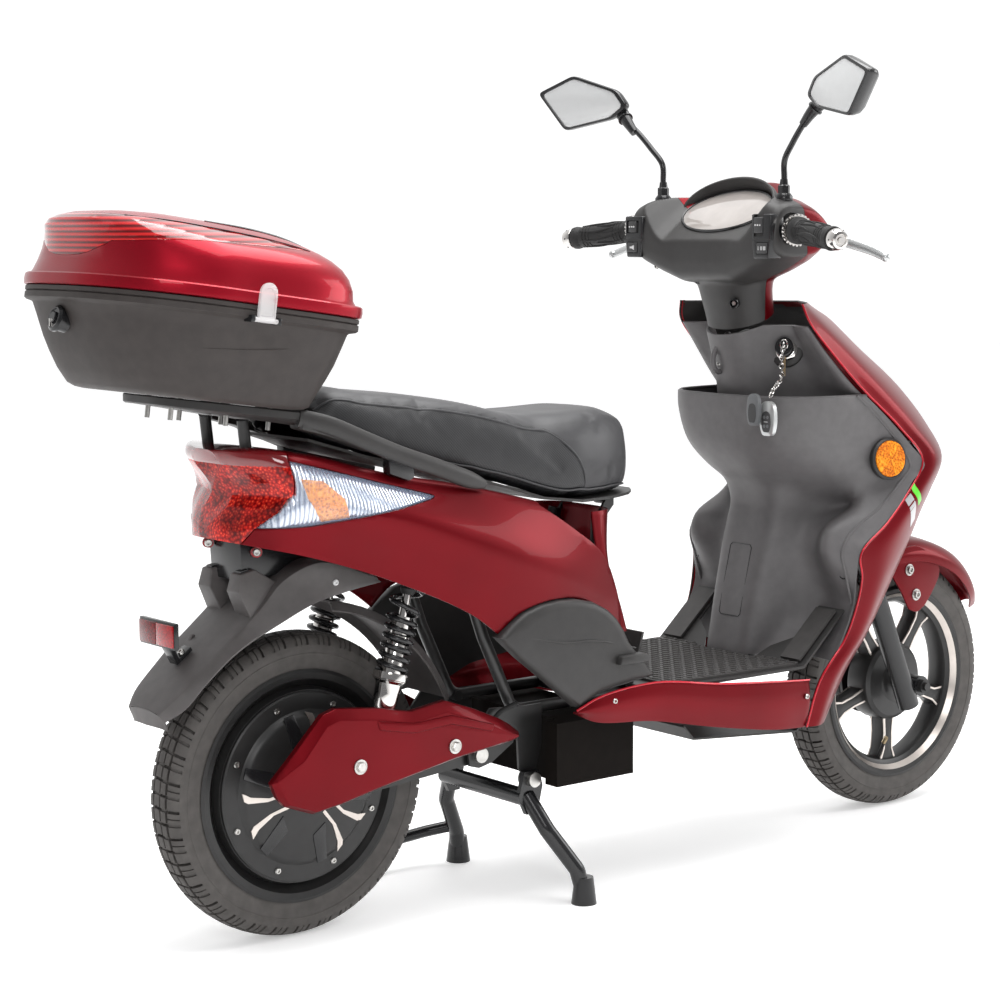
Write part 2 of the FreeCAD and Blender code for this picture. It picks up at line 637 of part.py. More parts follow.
def shocks():
    y, length = mm("shock_y"), math.hypot(mm("shock_top_x") - mm("shock_foot_x"), mm("shock_top_z") - mm("shock_foot_z"))
    top, foot = shock_line(0), shock_line(length)
    eye = rod(V(top.x, y - 9, top.z), V(top.x, y + 9, top.z), 13)
    shaft = rod(shock_line(8, y), shock_line(150, y), 6)
    cap = rod(shock_line(22, y), shock_line(30, y), 24)
    upper = eye.multiFuse([shaft, cap]).cut(cross_rod(top.x, top.z, 60, 130, 6 + mm("running_gap"))).removeSplitter()
    keep_shape("shock_rods", upper, mirrored(upper))

    barrel = rod(shock_line(95, y), shock_line(length - 8, y), 13, 6.3)
    barrel = barrel.fuse(rod(shock_line(190, y), shock_line(length - 8, y), 12.9))
    seat = rod(shock_line(178, y), shock_line(186, y), 24, 12)
    low_eye = rod(V(foot.x, y - 9, foot.z), V(foot.x, y + 9, foot.z), 14)
    lower = barrel.multiFuse([seat, low_eye]).cut(cross_rod(foot.x, foot.z, 60, 130, 7.5)).removeSplitter()
    keep_shape("shock_cylinders", lower, mirrored(lower))

    radius, wire, start, end, turns = mm("coil_radius"), mm("coil_wire"), 34.5, 174, 7
    helix = Part.makeHelix((end - start) / turns, end - start, radius)
    ring = Part.Wire(Part.makeCircle(wire, V(radius, 0, 0), V(0, 1, 0)))
    coil = helix.makePipeShell([ring], True, True)
    down = shock_line(100) - shock_line(0)
    coil.Placement = FreeCAD.Placement(shock_line(start, y), FreeCAD.Rotation(V(0, 0, 1), down))
    coil = Part.makeCompound([coil])
    keep_shape("shock_springs", coil, mirrored(coil))


def stand():
    x, z, fx, fy = mm("stand_x"), mm("stand_z"), mm("foot_x"), mm("foot_y")
    parts = [cross_rod(346, 158, -98, 98, 13)]
    for side in (RIGHT, LEFT):
        ear = side_prism([(344, 196), (372, 196), (378, 172), (368, 132), (348, 132), (334, 160)], side * 90, side * 98)
        leg = tube([V(352, side * 92, 160), V(366, side * 122, 112), V(fx - 8, side * (fy - 6), 50), V(fx, side * fy, 12)], 12, 25)
        parts += [ear, leg]
    tang = tube([V(400, 146, 60), V(360, 168, 52), V(262, 172, 44)], 9, 25)
    parts += [tang, rod(V(275, 160, 45), V(262, 196, 44), 9)]
    whole = parts[0].multiFuse(parts[1:])
    whole = whole.cut(cross_rod(x, z, -120, 120, mm("bolt_radius") + mm("running_gap")))
    shoe_way = [Part.makeCone(19.1, 14.1, 40, V(fx, s * fy, 0), V(0, 0, 1)) for s in (RIGHT, LEFT)]
    for way in shoe_way:
        whole = whole.cut(way)
    shoes = [Part.makeCone(19, 14, 40, V(fx, s * fy, 0), V(0, 0, 1)) for s in (RIGHT, LEFT)]
    keep_shape("center_stand", biggest(whole.removeSplitter()), *shoes)


# ---------------------------------------------------------------- rear bodywork
# side view of the red body: station, top edge, bottom edge, widest height, half widths at top, middle and bottom
TAIL = [(-134, 692, 580, 630, 20, 26, 20), (-120, 694, 574, 632, 62, 72, 62), (-88, 696, 565, 630, 100, 128, 106),
        (-25, 684, 546, 622, 118, 150, 126), (84, 655, 504, 600, 122, 164, 138), (204, 632, 450, 560, 124, 170, 150),
        (290, 612, 420, 530, 126, 168, 152), (380, 590, 400, 500, 122, 156, 146), (470, 575, 395, 480, 112, 134, 130),
        (530, 560, 390, 470, 96, 112, 112)]


def tail_skin(inset):
    loops = []
    for x, top, bottom, wide_z, top_y, wide_y, bottom_y in TAIL:
        at = x + (inset if x < -125 else 0)
        right = [(bottom - 40, bottom_y - inset), (bottom + 15, bottom_y + 6 - inset), (wide_z, wide_y - inset),
                 (top - 16, top_y + 12 - inset), (top - inset, top_y - inset)]
        loops.append([V(at, -y, z) for z, y in right] + [V(at, y, z) for z, y in reversed(right)])
    return loft(loops)


LENS_SEAM = [(-300, 760), (-50, 760), (-76, 676), (-118, 590), (-300, 590)]
SIDE_LENS = [(-180, 698), (-180, 589), (-48, 592), (138, 618), (66, 640)]
SIDE_COVER = [(246, 416), (290, 447), (353, 459), (420, 450), (466, 422), (491, 382), (542, 326), (542, 200), (200, 200), (200, 380)]
BODY_LOW_EDGE = [(-200, 583), (-109, 566), (-31, 546), (84, 506), (204, 451), (257, 413), (300, 380), (620, 380), (620, 100), (-200, 100)]
FRONT_EDGE = [(330, 700), (345, 592), (400, 556), (468, 506), (500, 440), (510, 300), (760, 300), (760, 700)]


def tail():
    shell = tail_skin(0).cut(tail_skin(mm("panel")))
    shell = shell.cut(block(-400, 700, -300, 300, 100, 380))
    shell = shell.cut(side_prism(BODY_LOW_EDGE, -300, 300))
    shell = shell.cut(side_prism(SIDE_COVER, -300, 300))
    shell = shell.cut(block(60, 700, -108, 108, 540, 800))
    for s in (RIGHT, LEFT):
        shell = shell.cut(rod(V(-88, s * 48, 630), V(-102, s * 48, 760), 10))
    rear_lamp = shell.common(side_prism(LENS_SEAM, -300, 300))
    shell = shell.cut(side_prism(LENS_SEAM, -300, 300))
    outer_band = block(-400, 400, -300, -95, 300, 900)
    lens_way = side_prism(SIDE_LENS, -300, -60).common(outer_band)
    lens = shell.common(lens_way)
    shell = shell.cut(lens_way).cut(mirrored(lens_way))
    front = shell.common(side_prism(FRONT_EDGE, -300, 300))
    shell = shell.cut(side_prism(FRONT_EDGE, -300, 300))
    right_half, left_half = block(-400, 700, -300, 0, 0, 900), block(-400, 700, 0, 300, 0, 900)
    keep_shape("right_tail_panel", biggest(shell.common(right_half)))
    keep_shape("left_tail_panel", biggest(shell.common(left_half)))
    keep_shape("tail_light", biggest(rear_lamp))
    nose = biggest(lens)
    keep_shape("rear_lenses", nose, mirrored(nose))
    return front


def under_seat_cover():
    """Front cover below the seat: a curved apron between the side panels."""
    def loop(z, x, half, depth):
        plan = [(x - depth, -half), (x - 14, -half * 0.86), (x, -half * 0.4), (x, half * 0.4), (x - 14, half * 0.86), (x - depth, half)]
        inner = [(px - 3, y * 0.965) for px, y in reversed(plan)]
        return [V(px, y, z) for px, y in plan + inner]

    cover = loft([loop(566, 548, 96, 60), loop(500, 536, 106, 44), loop(430, 548, 108, 34), loop(385, 556, 108, 30)])
    keep_shape("under_seat_cover", biggest(cover.cut(block(500, 600, -52, 52, 538, 600))))


def side_covers():
    """Black lower covers between the tail, the floor and the frame."""
    low = [(246, 414), (290, 445), (353, 457), (420, 448), (464, 420), (489, 381), (540, 326), (470, 318), (430, 312), (391, 296)]
    plate = side_prism(low, -163, -159)
    lip = side_prism([(391, 297), (430, 313), (470, 319), (540, 326), (540, 322), (470, 315), (430, 309), (391, 293)], -159, -130)
    tab = block(470, 516, -172, -163.1, 352, 362)
    tab = block(462, 512, -176, -163, 352, 364)
    cover = plate.multiFuse([tab]).removeSplitter()
    keep_shape("side_covers", cover, mirrored(cover))


def rear_fender():
    """Long black mudguard below the tail, and the inner guard ahead of the wheel."""
    wall = mm("panel")
    stations = [(-246, 340, 36, 44, 12), (-232, 362, 46, 58, 18), (-205, 388, 52, 66, 22), (-130, 452, 55, 73, 27),
                (-50, 520, 56, 76, 30), (10, 548, 58, 84, 34)]
    loops = []
    for x, z, ridge, edge, drop in stations:
        across = [(edge, drop), (ridge, 0), (-ridge, 0), (-edge, drop), (-edge + wall, drop), (-ridge + wall * 0.8, wall), (ridge - wall * 0.8, wall), (edge - wall, drop)]
        lean = V(0.62, 0, -0.78)
        loops.append([V(x, y, z) + lean * d for y, d in across])
    guard = loft(loops)
    reach = 262
    arc = Part.makeCylinder(reach, 116, V(0, -58, mm("wheel_radius")), V(0, 1, 0), 62)
    turns = [math.radians(a) for a in (24, 40, 58, 78)]
    outer = [(reach * math.cos(a), mm("wheel_radius") + reach * math.sin(a)) for a in turns]
    inner = [((reach - 3) * math.cos(a), mm("wheel_radius") + (reach - 3) * math.sin(a)) for a in reversed(turns)]
    hugger = side_prism(outer + inner, -58, 58)
    keep_shape("rear_fender", guard, hugger)


def reflectors(shield):
    """Red bar behind the mudguard and a round amber reflector each side of the leg shield."""
    plate = block(-213, -204, -45, 45, 432, 470)
    bracket = side_prism([(-204, 458), (-204, 444), (-183, 407.3), (-163, 424.3), (-166, 429), (-181, 416), (-199, 446), (-199, 458)], -10, 10)
    face = V(-0.82, -0.52, 0.20).normalize()
    spot = V(1046, -157, 616)
    disc = biggest(rod(spot - face * 3, spot + face * 7, 30).cut(shield))
    keep_shape("reflectors", plate.fuse(bracket), disc, mirrored(disc))


# ---------------------------------------------------------------- floor and leg shield
LOCK = V(896, -76, 793)
LOCK_OUT = V(-0.78, -0.52, 0.34).normalize()
FOB_HANG = LOCK + LOCK_OUT * 27 + V(0, -2, 4)


def footboard():
    floor, half = mm("floor_z"), mm("half_width") - 10
    line = [(545, floor), (850, floor), (940, floor + 80), (940, floor + 77), (851, floor - 4), (545, floor - 4)]
    deck = side_prism(line, -half, half)
    spine_way = plan_prism([(838, -48), (870, -74), (890, -112), (1000, -112), (1000, 112), (890, 112), (870, 74), (838, 48)], 280, 420)
    riser = side_prism([(545, floor - 4), (549, floor - 4), (572, 380), (568, 380)], -104, 104)
    keep_shape("footboard", deck.cut(spine_way).fuse(riser).removeSplitter())
    top = floor + mm("mat")
    flat = plan_prism([(576, -150), (845, -158), (845, 158), (576, 150)], floor + 0.05, top)
    ramps = []
    for side in (RIGHT, LEFT):
        y0, y1 = sorted((side * 116, side * 158))
        ramps.append(side_prism([(852, floor + 5.5), (932, floor + 76.5), (929.5, floor + 79.5), (850, floor + 9)], y0, y1))
    flat = flat.cut(plan_prism([(835, -70), (900, -70), (900, 70), (835, 70)], 200, 400))
    keep_shape("floor_mat", flat, *ramps)


# leg shield by height: z, then right-hand (x, y) corners from the outer edge in to the keel
SHIELD = [
    (306, [(905, -183), (908, -165), (910, -140), (904, -100), (876, -60), (845, -42), (843, 0)]),
    (394, [(948, -184), (954, -172), (956, -150), (958, -108), (925, -76), (864, -45), (860, 0)]),
    (440, [(948, -187), (940, -172), (934, -150), (945, -108), (928, -78), (875, -46), (871, 0)]),
    (479, [(944, -190), (926, -172), (912, -150), (936, -108), (928, -80), (885, -47), (880, 0)]),
    (508, [(975, -190), (942, -172), (920, -150), (950, -110), (940, -82), (894, -48), (889, 0)]),
    (543, [(1036, -189), (1010, -176), (985, -152), (1002, -116), (966, -84), (903, -49), (897, 0)]),
    (578, [(1070, -187), (1052, -178), (1010, -154), (966, -124), (925, -84), (892, -49), (886, 0)]),
    (606, [(1100, -187), (1078, -179), (1008, -158), (925, -128), (880, -84), (860, -46), (857, 0)]),
    (643, [(1072, -180), (1056, -172), (975, -158), (893, -138), (850, -92), (835, -46), (831, 0)]),
    (694, [(1018, -172), (1006, -165), (936, -157), (872, -140), (835, -92), (827, -46), (824, 0)]),
    (722, [(984, -166), (972, -160), (925, -156), (870, -140), (833, -92), (826, -46), (823, 0)]),
]
UPPER_SHIELD = [
    (640, [(1080, -176), (1066, -168), (1040, -140), (1000, -100), (948, -72), (880, -40), (868, 0)]),
    (690, [(1025, -165), (1012, -158), (985, -130), (950, -97), (904, -68), (866, -38), (857, 0)]),
    (740, [(964, -156), (956, -148), (950, -124), (935, -94), (900, -66), (858, -38), (845, 0)]),
    (790, [(916, -147), (911, -140), (915, -118), (915, -92), (886, -66), (845, -38), (831, 0)]),
    (834, [(878, -142), (876, -136), (884, -112), (893, -92), (868, -68), (832, -38), (820, 0)]),
]


def shield_wall(levels, wall=3.5):
    """A standing wall lofted through plan lines, thickened forwards."""
    loops = []
    for z, right in levels:
        back = [(x, y) for x, y in right] + [(x, -y) for x, y in reversed(right[:-1])]
        front = [(x + wall, y) for x, y in reversed(back)]
        loops.append([V(x, y, z) for x, y in back + front])
    return loft(loops)


def full_line(right, shift):
    """The plan line of one level, right edge to left edge, moved forward a little."""
    line = [(x + shift, y) for x, y in right]
    return line + [(x, -y) for x, y in reversed(line[:-1])]


def inner_leg_shield():
    """Bowl, spine and knee walls below, head cover and wings above, the bowl's floor and the top deck."""
    bowl_line = full_line(SHIELD[8][1], 1.5)
    head_line = full_line(UPPER_SHIELD[0][1], 2)
    bowl_floor = plan_prism(bowl_line + head_line[::-1], 640, 643)
    deck_line = full_line(UPPER_SHIELD[4][1], 1.5)
    deck = plan_prism(deck_line + [(950, 84), (968, 40), (968, -40), (950, -84)], 830.5, 834)
    shield = shield_wall(SHIELD).multiFuse([shield_wall(UPPER_SHIELD), bowl_floor, deck])
    hook = tube([V(846, 14, 800), V(826, 14, 788), V(824, 14, 768), V(842, 14, 758)], 4, 6)
    lock_way = rod(LOCK - LOCK_OUT * 40, LOCK + LOCK_OUT * 30, 13)
    column_way = rod(on_axis(560), on_axis(760), 40)
    head_way = rod(on_axis(360), on_axis(562), mm("head_tube_radius") + 2)
    neck_way = rod(on_axis(NECK_HEIGHT - 5), on_axis(NECK_HEIGHT + 90), 80)
    shield = biggest(shield.cut(lock_way).cut(column_way).cut(head_way).cut(neck_way))
    keep_shape("inner_leg_shield", shield, biggest(hook.cut(shield)))
    return shield


# outer red leg panels by height: z, then (x, y) from the rear edge round to the nose
APRON = [
    (206, [(858, -168), (880, -172), (905, -160), (925, -140)]),
    (279, [(874, -180), (905, -183), (950, -160), (975, -138)]),
    (349, [(930, -185), (965, -186), (1010, -160), (1032, -134)]),
    (434, [(953, -193), (1000, -193), (1060, -165), (1096, -134)]),
    (474, [(948, -194), (1015, -194), (1085, -166), (1124, -130)]),
    (520, [(1010, -193), (1050, -194), (1120, -160), (1162, -118)]),
    (560, [(1056, -190), (1090, -192), (1170, -140), (1272, 0)]),
    (614, [(1096, -188), (1128, -189), (1205, -130), (1284, 0)]),
    (667, [(1050, -182), (1090, -180), (1178, -120), (1262, 0)]),
    (729, [(982, -166), (1030, -164), (1125, -105), (1213, 0)]),
    (790, [(922, -153), (970, -145), (1050, -90), (1135, 0)]),
    (840, [(876, -147), (915, -134), (985, -82), (1068, 0)]),
    (868, [(868, -138), (890, -124), (940, -78), (1000, 0)]),
]


def apron_half():
    wall = mm("panel")
    loops = []
    for z, right in APRON:
        centre_y = 0.97
        inner = [(right[0][0] + 1, right[0][1] + wall)] + [(x - wall * 0.8, y + wall) for x, y in right[1:3]]
        inner.append((right[3][0] - wall * 1.5, min(right[3][1] + wall * (right[3][1] < 0), 0)))
        loops.append([V(x, y, z) for x, y in right + inner[::-1]])
    return loft(loops)


def floor_side():
    """Red sill along the floor, from the seat side forward to the leg panel."""
    loops = []
    for x, top, bottom, out in ((384, 293, 288, 168), (427, 309, 270, 172), (530, 318, 259, 176), (663, 300, 232, 178), (790, 288, 211, 178), (856, 282, 206, 174)):
        middle = (top + bottom) / 2
        face = [(-out, top), (-out - 2, middle), (-out + 8, bottom)]
        loops.append([V(x, y, z) for y, z in face] + [V(x, y + 3, z) for y, z in face[::-1]])
    return loft(loops)


def leg_panels(shield):
    """Outer red panels: apron nose, and each leg panel with the sill along the floor."""
    half = apron_half().cut(shield)
    nose_way = side_prism([(1175, 480), (1175, 640), (1020, 900), (1400, 900), (1400, 480)], -300, 300)
    side = half.cut(nose_way)
    sill = floor_side()
    keep_shape("right_leg_panel", biggest(side), sill)
    keep_shape("left_leg_panel", mirrored(biggest(side)), mirrored(sill))
    nose = half.common(nose_way)
    keep_shape("front_apron", biggest(nose).fuse(mirrored(biggest(nose))).removeSplitter())


def belly_pan():
    pan = side_prism([(640, 226), (660, 204), (884, 186), (905, 200), (905, 203), (884, 189), (661, 207), (641, 229)], -120, 120)
    keep_shape("belly_pan", pan)


def battery():
    corners = [(374, -136), (522, -136), (522, 136), (374, 136), (374, 109), (398, 104), (398, -104), (374, -109)]
    inside = [(378, -132), (518, -132), (518, 132), (378, 132), (378, 113), (402, 108), (402, -108), (378, -113)]
    case = plan_prism(corners, 176, 270).cut(plan_prism(inside, 180, 266))
    cells = [block(404, 516, y, y + 126, 180.2, 262) for y in (-128, 2)]
    keep_shape("battery_box", case, *cells)


# ---------------------------------------------------------------- seat
SEAT_TOP = [(-18, 752), (20, 772), (69, 763), (169, 752), (249, 739), (323, 722), (368, 715), (440, 718),
            (501, 721), (535, 719), (566, 708), (592, 676), (608, 628)]
SEAT_LOW = [(-18, 700), (84, 668), (204, 642), (290, 622), (345, 602), (400, 588), (470, 586), (608, 586)]
SEAT_HALF = [(-18, 96), (60, 112), (200, 118), (330, 128), (430, 132), (510, 116), (566, 88), (592, 64), (608, 42)]


def seat():
    stations = (-18, 20, 69, 169, 249, 323, 368, 440, 501, 535, 566, 592, 608)
    cushion, pan = [], []
    for x in stations:
        top, low, half = between(SEAT_TOP, x), between(SEAT_LOW, x) + 5, between(SEAT_HALF, x)
        side = min(low + (top - low) * 0.55, low + 90)
        right = [(-half * 0.5, top), (-half * 0.85, top - (top - low) * 0.12), (-half, side), (-half + 4, low)]
        cushion.append([V(x, y, z) for y, z in right] + [V(x, -y, z) for y, z in reversed(right)])
        low, half = low - 0.1, half - 14
        pan.append([V(x, -half, low), V(x, half, low), V(x, half, low - 4), V(x, -half, low - 4)])
    keep_shape("seat_cushion", loft(cushion))
    knuckles = [cross_rod(HINGE.x, HINGE.z, y, y + 24, 7) for y in (-40, 16)]
    tongues = [block(HINGE.x - 6, HINGE.x + 6, y, y + 24, HINGE.z, HINGE.z + 12) for y in (-40, 16)]
    base = loft(pan).multiFuse(knuckles + tongues)
    base = base.cut(cross_rod(HINGE.x, HINGE.z, -60, 60, 4 + mm("running_gap"))).removeSplitter()
    keep_shape("seat_base", base)


# ---------------------------------------------------------------- rack and top box
def rack():
    slope = math.tan(math.radians(mm("box_tilt_deg")))
    top = [(x, mm("box_z") - slope * (x - mm("box_x")) - 0.05) for x in (-230, -60)]
    top += [(-30, 733), (92, 686), (210, 645), (243, 633)]
    side = side_prism(top + [(x, z - 13) for x, z in reversed(top)], -160, 160)
    right = [(-230, 0), (-228, -32), (-210, -64), (-150, -104), (-20, -134), (90, -142), (210, -140), (243, -134), (243, -128), (200, -126), (90, -127), (0, -120), (-32, -100), (-32, 0)]
    plan = plan_prism(right + [(x, -y) for x, y in reversed(right[1:-1])], 500, 900)
    shape = side.common(plan)
    for x, y in BOX_BOLTS:
        for s in (RIGHT, LEFT):
            shape = shape.cut(in_box_frame(rod(V(x, s * y, -40), V(x, s * y, 20), 3.45)))
    for s in (RIGHT, LEFT):
        shape = shape.cut(rod(V(-88, s * 48, 630), V(-108, s * 48, 798), 8.05))
    keep_shape("grab_rack", biggest(shape))


BOX_TURN = FreeCAD.Rotation(V(0, 1, 0), mm("box_tilt_deg"))
BOX_PLACE = FreeCAD.Placement(V(mm("box_x"), 0, mm("box_z")), BOX_TURN)


def box_loop(z, front, rear, half, corner=0.32, inset=0):
    """Rounded plan outline of the top box at one height, in the box's own frame."""
    f, r, h = front - inset, rear + inset, half - inset
    c = half * corner
    right = [(f, -h + c * 1.1), (f - c * 0.35, -h + c * 0.3), (f - c * 1.2, -h), (r + c * 1.9, -h * 0.98), (r + c * 0.8, -h * 0.80), (r + c * 0.15, -h * 0.45)]
    return [V(x, y, z) for x, y in right] + [V(x, -y, z) for x, y in reversed(right)]


def in_box_frame(shape):
    shape = shape.copy()
    shape.Placement = BOX_PLACE
    return Part.makeCompound([shape])


def top_box():
    wall, height, lip, lid_height = mm("box_wall"), mm("box_base_height"), mm("box_lip"), mm("box_lid_height")

    def base(inset):
        return loft([box_loop(inset, 140, -142, 148, inset=inset), box_loop(height * 0.5, 158, -168, 176, inset=inset), box_loop(height, 172, -190, 190, inset=inset)])

    rim = loft([box_loop(height - 12, 180, -196, 197), box_loop(height, 180, -196, 197)])
    rim = rim.cut(loft([box_loop(height - 13, 180, -196, 197, inset=12), box_loop(height + 1, 180, -196, 197, inset=12)]))
    cup = base(0).fuse(rim).cut(loft([box_loop(wall, 140, -142, 148, inset=wall), box_loop(height * 0.5, 158, -168, 176, inset=wall),
                                      box_loop(height + 0.02, 172, -190, 190, inset=wall)]))
    bolt_ways = [rod(V(x, s * y, -20), V(x, s * y, 20), 3.45) for x, y in BOX_BOLTS for s in (RIGHT, LEFT)]

    top = height + 0.4

    def lid(inset):
        return loft([box_loop(top + lip, 176, -192, 190, inset=inset), box_loop(top + lip + 38, 160, -188, 178, inset=inset),
                     box_loop(top + lip + 72, 122, -180, 148, inset=inset), box_loop(top + lid_height - inset, 50, -148, 96, inset=inset)])

    band = loft([box_loop(top, 182, -198, 199), box_loop(top + lip, 182, -198, 199)])
    band_inner = loft([box_loop(top - 1, 182, -198, 199, inset=4), box_loop(top + lip - 3, 182, -198, 199, inset=4)])
    cap = band.fuse(lid(0)).cut(band_inner).cut(lid(wall)).cut(block(-165, 160, -170, 170, top + lip - 5, top + lip + 1))
    lens_way = side_prism([(-260, top + lip + 8), (-120, top + lip + 10), (20, top + lip + 48), (90, top + lip + 68),
                           (20, top + lip + 72), (-260, top + lip + 72)], -300, 300)
    rear_lens = cap.common(lens_way).common(block(-260, 90, -300, 300, 0, 400))
    cap = cap.cut(lens_way)
    lock_run = V(-1, 0, 0.2).normalize()
    lock_spot = V(-172, 0, height - 46)
    lock = rod(lock_spot, lock_spot + lock_run * 22, 15)
    cup = cup.cut(rod(lock_spot - lock_run * 10, lock_spot + lock_run * 40, 15.05))
    for way in bolt_ways:
        cup = cup.cut(way)
    hinge_x, hinge_z = 187, height
    pin_ways = []
    for y in (-90, 90):
        pin = rod(V(hinge_x, y - 20, hinge_z), V(hinge_x, y + 20, hinge_z), 2)
        knuckle = rod(V(hinge_x, y - 20, hinge_z), V(hinge_x, y - 0.5, hinge_z), 4.5)
        strap = block(176, hinge_x, y - 20, y - 0.5, hinge_z - 4.5, hinge_z - 0.5)
        cup = cup.multiFuse([knuckle, strap, pin])
        other = rod(V(hinge_x, y + 0.5, hinge_z), V(hinge_x, y + 20, hinge_z), 4.5)
        leaf = block(179, hinge_x, y + 0.5, y + 20, hinge_z + 0.5, hinge_z + 4.5)
        cap = cap.multiFuse([other, leaf]).cut(rod(V(hinge_x, y - 30, hinge_z), V(hinge_x, y + 30, hinge_z), 2.05))
        cup = cup.cut(rod(V(hinge_x, y - 0.5, hinge_z), V(hinge_x, y + 21, hinge_z), 4.6).cut(pin))
        cap = cap.cut(rod(V(hinge_x, y - 21, hinge_z), V(hinge_x, y + 0.5, hinge_z), 4.6))
    # the latches are hooked in small ears under the rim
    latch = block(-14, 14, -205, -200, height - 19, top + lip + 12)
    foot = rod(V(-17, -201.5, height - 19), V(17, -201.5, height - 19), 3.5)
    latch = latch.fuse(foot)
    ears = block(-21, 21, -204, -186, height - 22, height - 16).cut(block(-17.2, 17.2, -206, -197.2, 0, 200))
    cup = cup.multiFuse(both(ears.cut(base(wall))))
    keep_shape("box_base", in_box_frame(biggest(cup)))
    keep_shape("box_lid", in_box_frame(biggest(cap)))
    keep_shape("box_lens", in_box_frame(biggest(rear_lens)))
    keep_shape("box_lock", in_box_frame(lock))
    keep_shape("right_box_latch", in_box_frame(latch))
    keep_shape("left_box_latch", in_box_frame(mirrored(latch)))


# ---------------------------------------------------------------- ignition
def ignition():
    barrel = rod(LOCK - LOCK_OUT * 22, LOCK + LOCK_OUT * 6, 12.9)
    slot = rod(LOCK - LOCK_OUT * 16, LOCK + LOCK_OUT * 9, 5.2)
    keep_shape("ignition_lock", barrel.cut(slot))
    shank = rod(LOCK - LOCK_OUT * 14, LOCK + LOCK_OUT * 12, 5)
    bow = rod(LOCK + LOCK_OUT * 14, LOCK + LOCK_OUT * 21, 14)
    blade_foot = LOCK + LOCK_OUT * 18
    blade = rod(blade_foot - V(0, 0, 10), blade_foot - V(0, 0, 42), 3)
    keep_shape("ignition_key", bow.multiFuse([shank, blade]).removeSplitter())


def key_fobs():
    """Remote fob and tag on a short chain that drapes over the rim of the bowl."""
    chain = tube([FOB_HANG, V(846, -116, 748), V(815, -124, 734), V(813, -123, 718)], 2, 5)
    fob = block(806, 816, -139, -108, 665, 719)
    tag = block(795, 805, -116, -90, 680, 730)
    strap = tube([V(813, -122, 724), V(800, -112, 728), V(800, -106, 715)], 1.5, 3)
    keep_shape("key_fobs", chain.multiFuse([fob, tag, strap]).removeSplitter())


def motor_cable():
    """Lead from the frame down to the hub, along the right arm."""
    route = [V(330, -96, 300), V(300, -96, 292), V(272, -96, 268), V(240, -92, 246), V(200, -88, 240), V(160, -86.5, 238)]
    keep_shape("motor_cable", tube(route, 3.5, 25))


def build():
    wheels()
    fork()
    front_fender()
    handlebar()
    levers()
    covers()
    switches()
    mirrors()
    frame()
    frame_bolts()
    swingarm()
    shocks()
    stand()
    tail()
    under_seat_cover()
    side_covers()
    rear_fender()
    footboard()
    shield = inner_leg_shield()
    reflectors(shield)
    leg_panels(shield)
    belly_pan()
    battery()
    seat()
    rack()
    top_box()
    ignition()
    key_fobs()
    motor_cable()


def check_and_write():
    doc.recompute()
    for thing in doc.Objects:
        if "Invalid" in thing.State or "Error" in thing.State:
            raise RuntimeError(f"{thing.Name} failed: {thing.State}")
    os.makedirs("parts", exist_ok=True)
    for thing in SUBPARTS:
        shape = thing.Shape
        if shape.isNull() or not shape.isValid() or not shape.Solids:
            raise RuntimeError(f"{thing.Label} has no valid solid")
        shape.exportStep(f"parts/{thing.Label}.step")
    print(len(SUBPARTS), "sub-parts written")


build()
check_and_write()
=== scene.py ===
"""Looks of the electric moped scooter: camera, studio, materials and the surfaces drawn over the CAD parts.

Points in this script are in millimetres in the scooter's own frame (x forward from the rear axle, y to the
rider's left, z up from the ground). world() turns them into the row frame, in metres.
"""

import math
import random

import bmesh
import bpy
from mathutils import Matrix, Vector
from mathutils.bvhtree import BVHTree

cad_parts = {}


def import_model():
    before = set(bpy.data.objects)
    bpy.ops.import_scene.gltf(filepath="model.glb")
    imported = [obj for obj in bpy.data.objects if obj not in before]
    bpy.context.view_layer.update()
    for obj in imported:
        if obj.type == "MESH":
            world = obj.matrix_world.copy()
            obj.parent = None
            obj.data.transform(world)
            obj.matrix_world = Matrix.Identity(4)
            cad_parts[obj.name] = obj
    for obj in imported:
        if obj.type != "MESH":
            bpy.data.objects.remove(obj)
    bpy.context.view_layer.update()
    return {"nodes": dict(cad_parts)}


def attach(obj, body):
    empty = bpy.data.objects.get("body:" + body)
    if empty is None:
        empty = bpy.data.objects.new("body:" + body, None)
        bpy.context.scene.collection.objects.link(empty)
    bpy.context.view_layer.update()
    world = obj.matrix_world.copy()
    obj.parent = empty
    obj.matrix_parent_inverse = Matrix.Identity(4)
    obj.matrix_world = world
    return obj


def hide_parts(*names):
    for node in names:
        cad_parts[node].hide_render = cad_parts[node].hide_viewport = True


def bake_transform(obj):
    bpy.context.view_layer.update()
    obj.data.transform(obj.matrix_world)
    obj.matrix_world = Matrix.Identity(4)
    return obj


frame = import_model()
random.seed(7)

MM = 0.001
REAR_AXLE_X = 539.7
RIGHT, LEFT = -1, 1


def world(point):
    return Vector(((point[0] - REAR_AXLE_X) * MM, point[1] * MM, point[2] * MM))


def V(*numbers):
    return Vector(numbers)


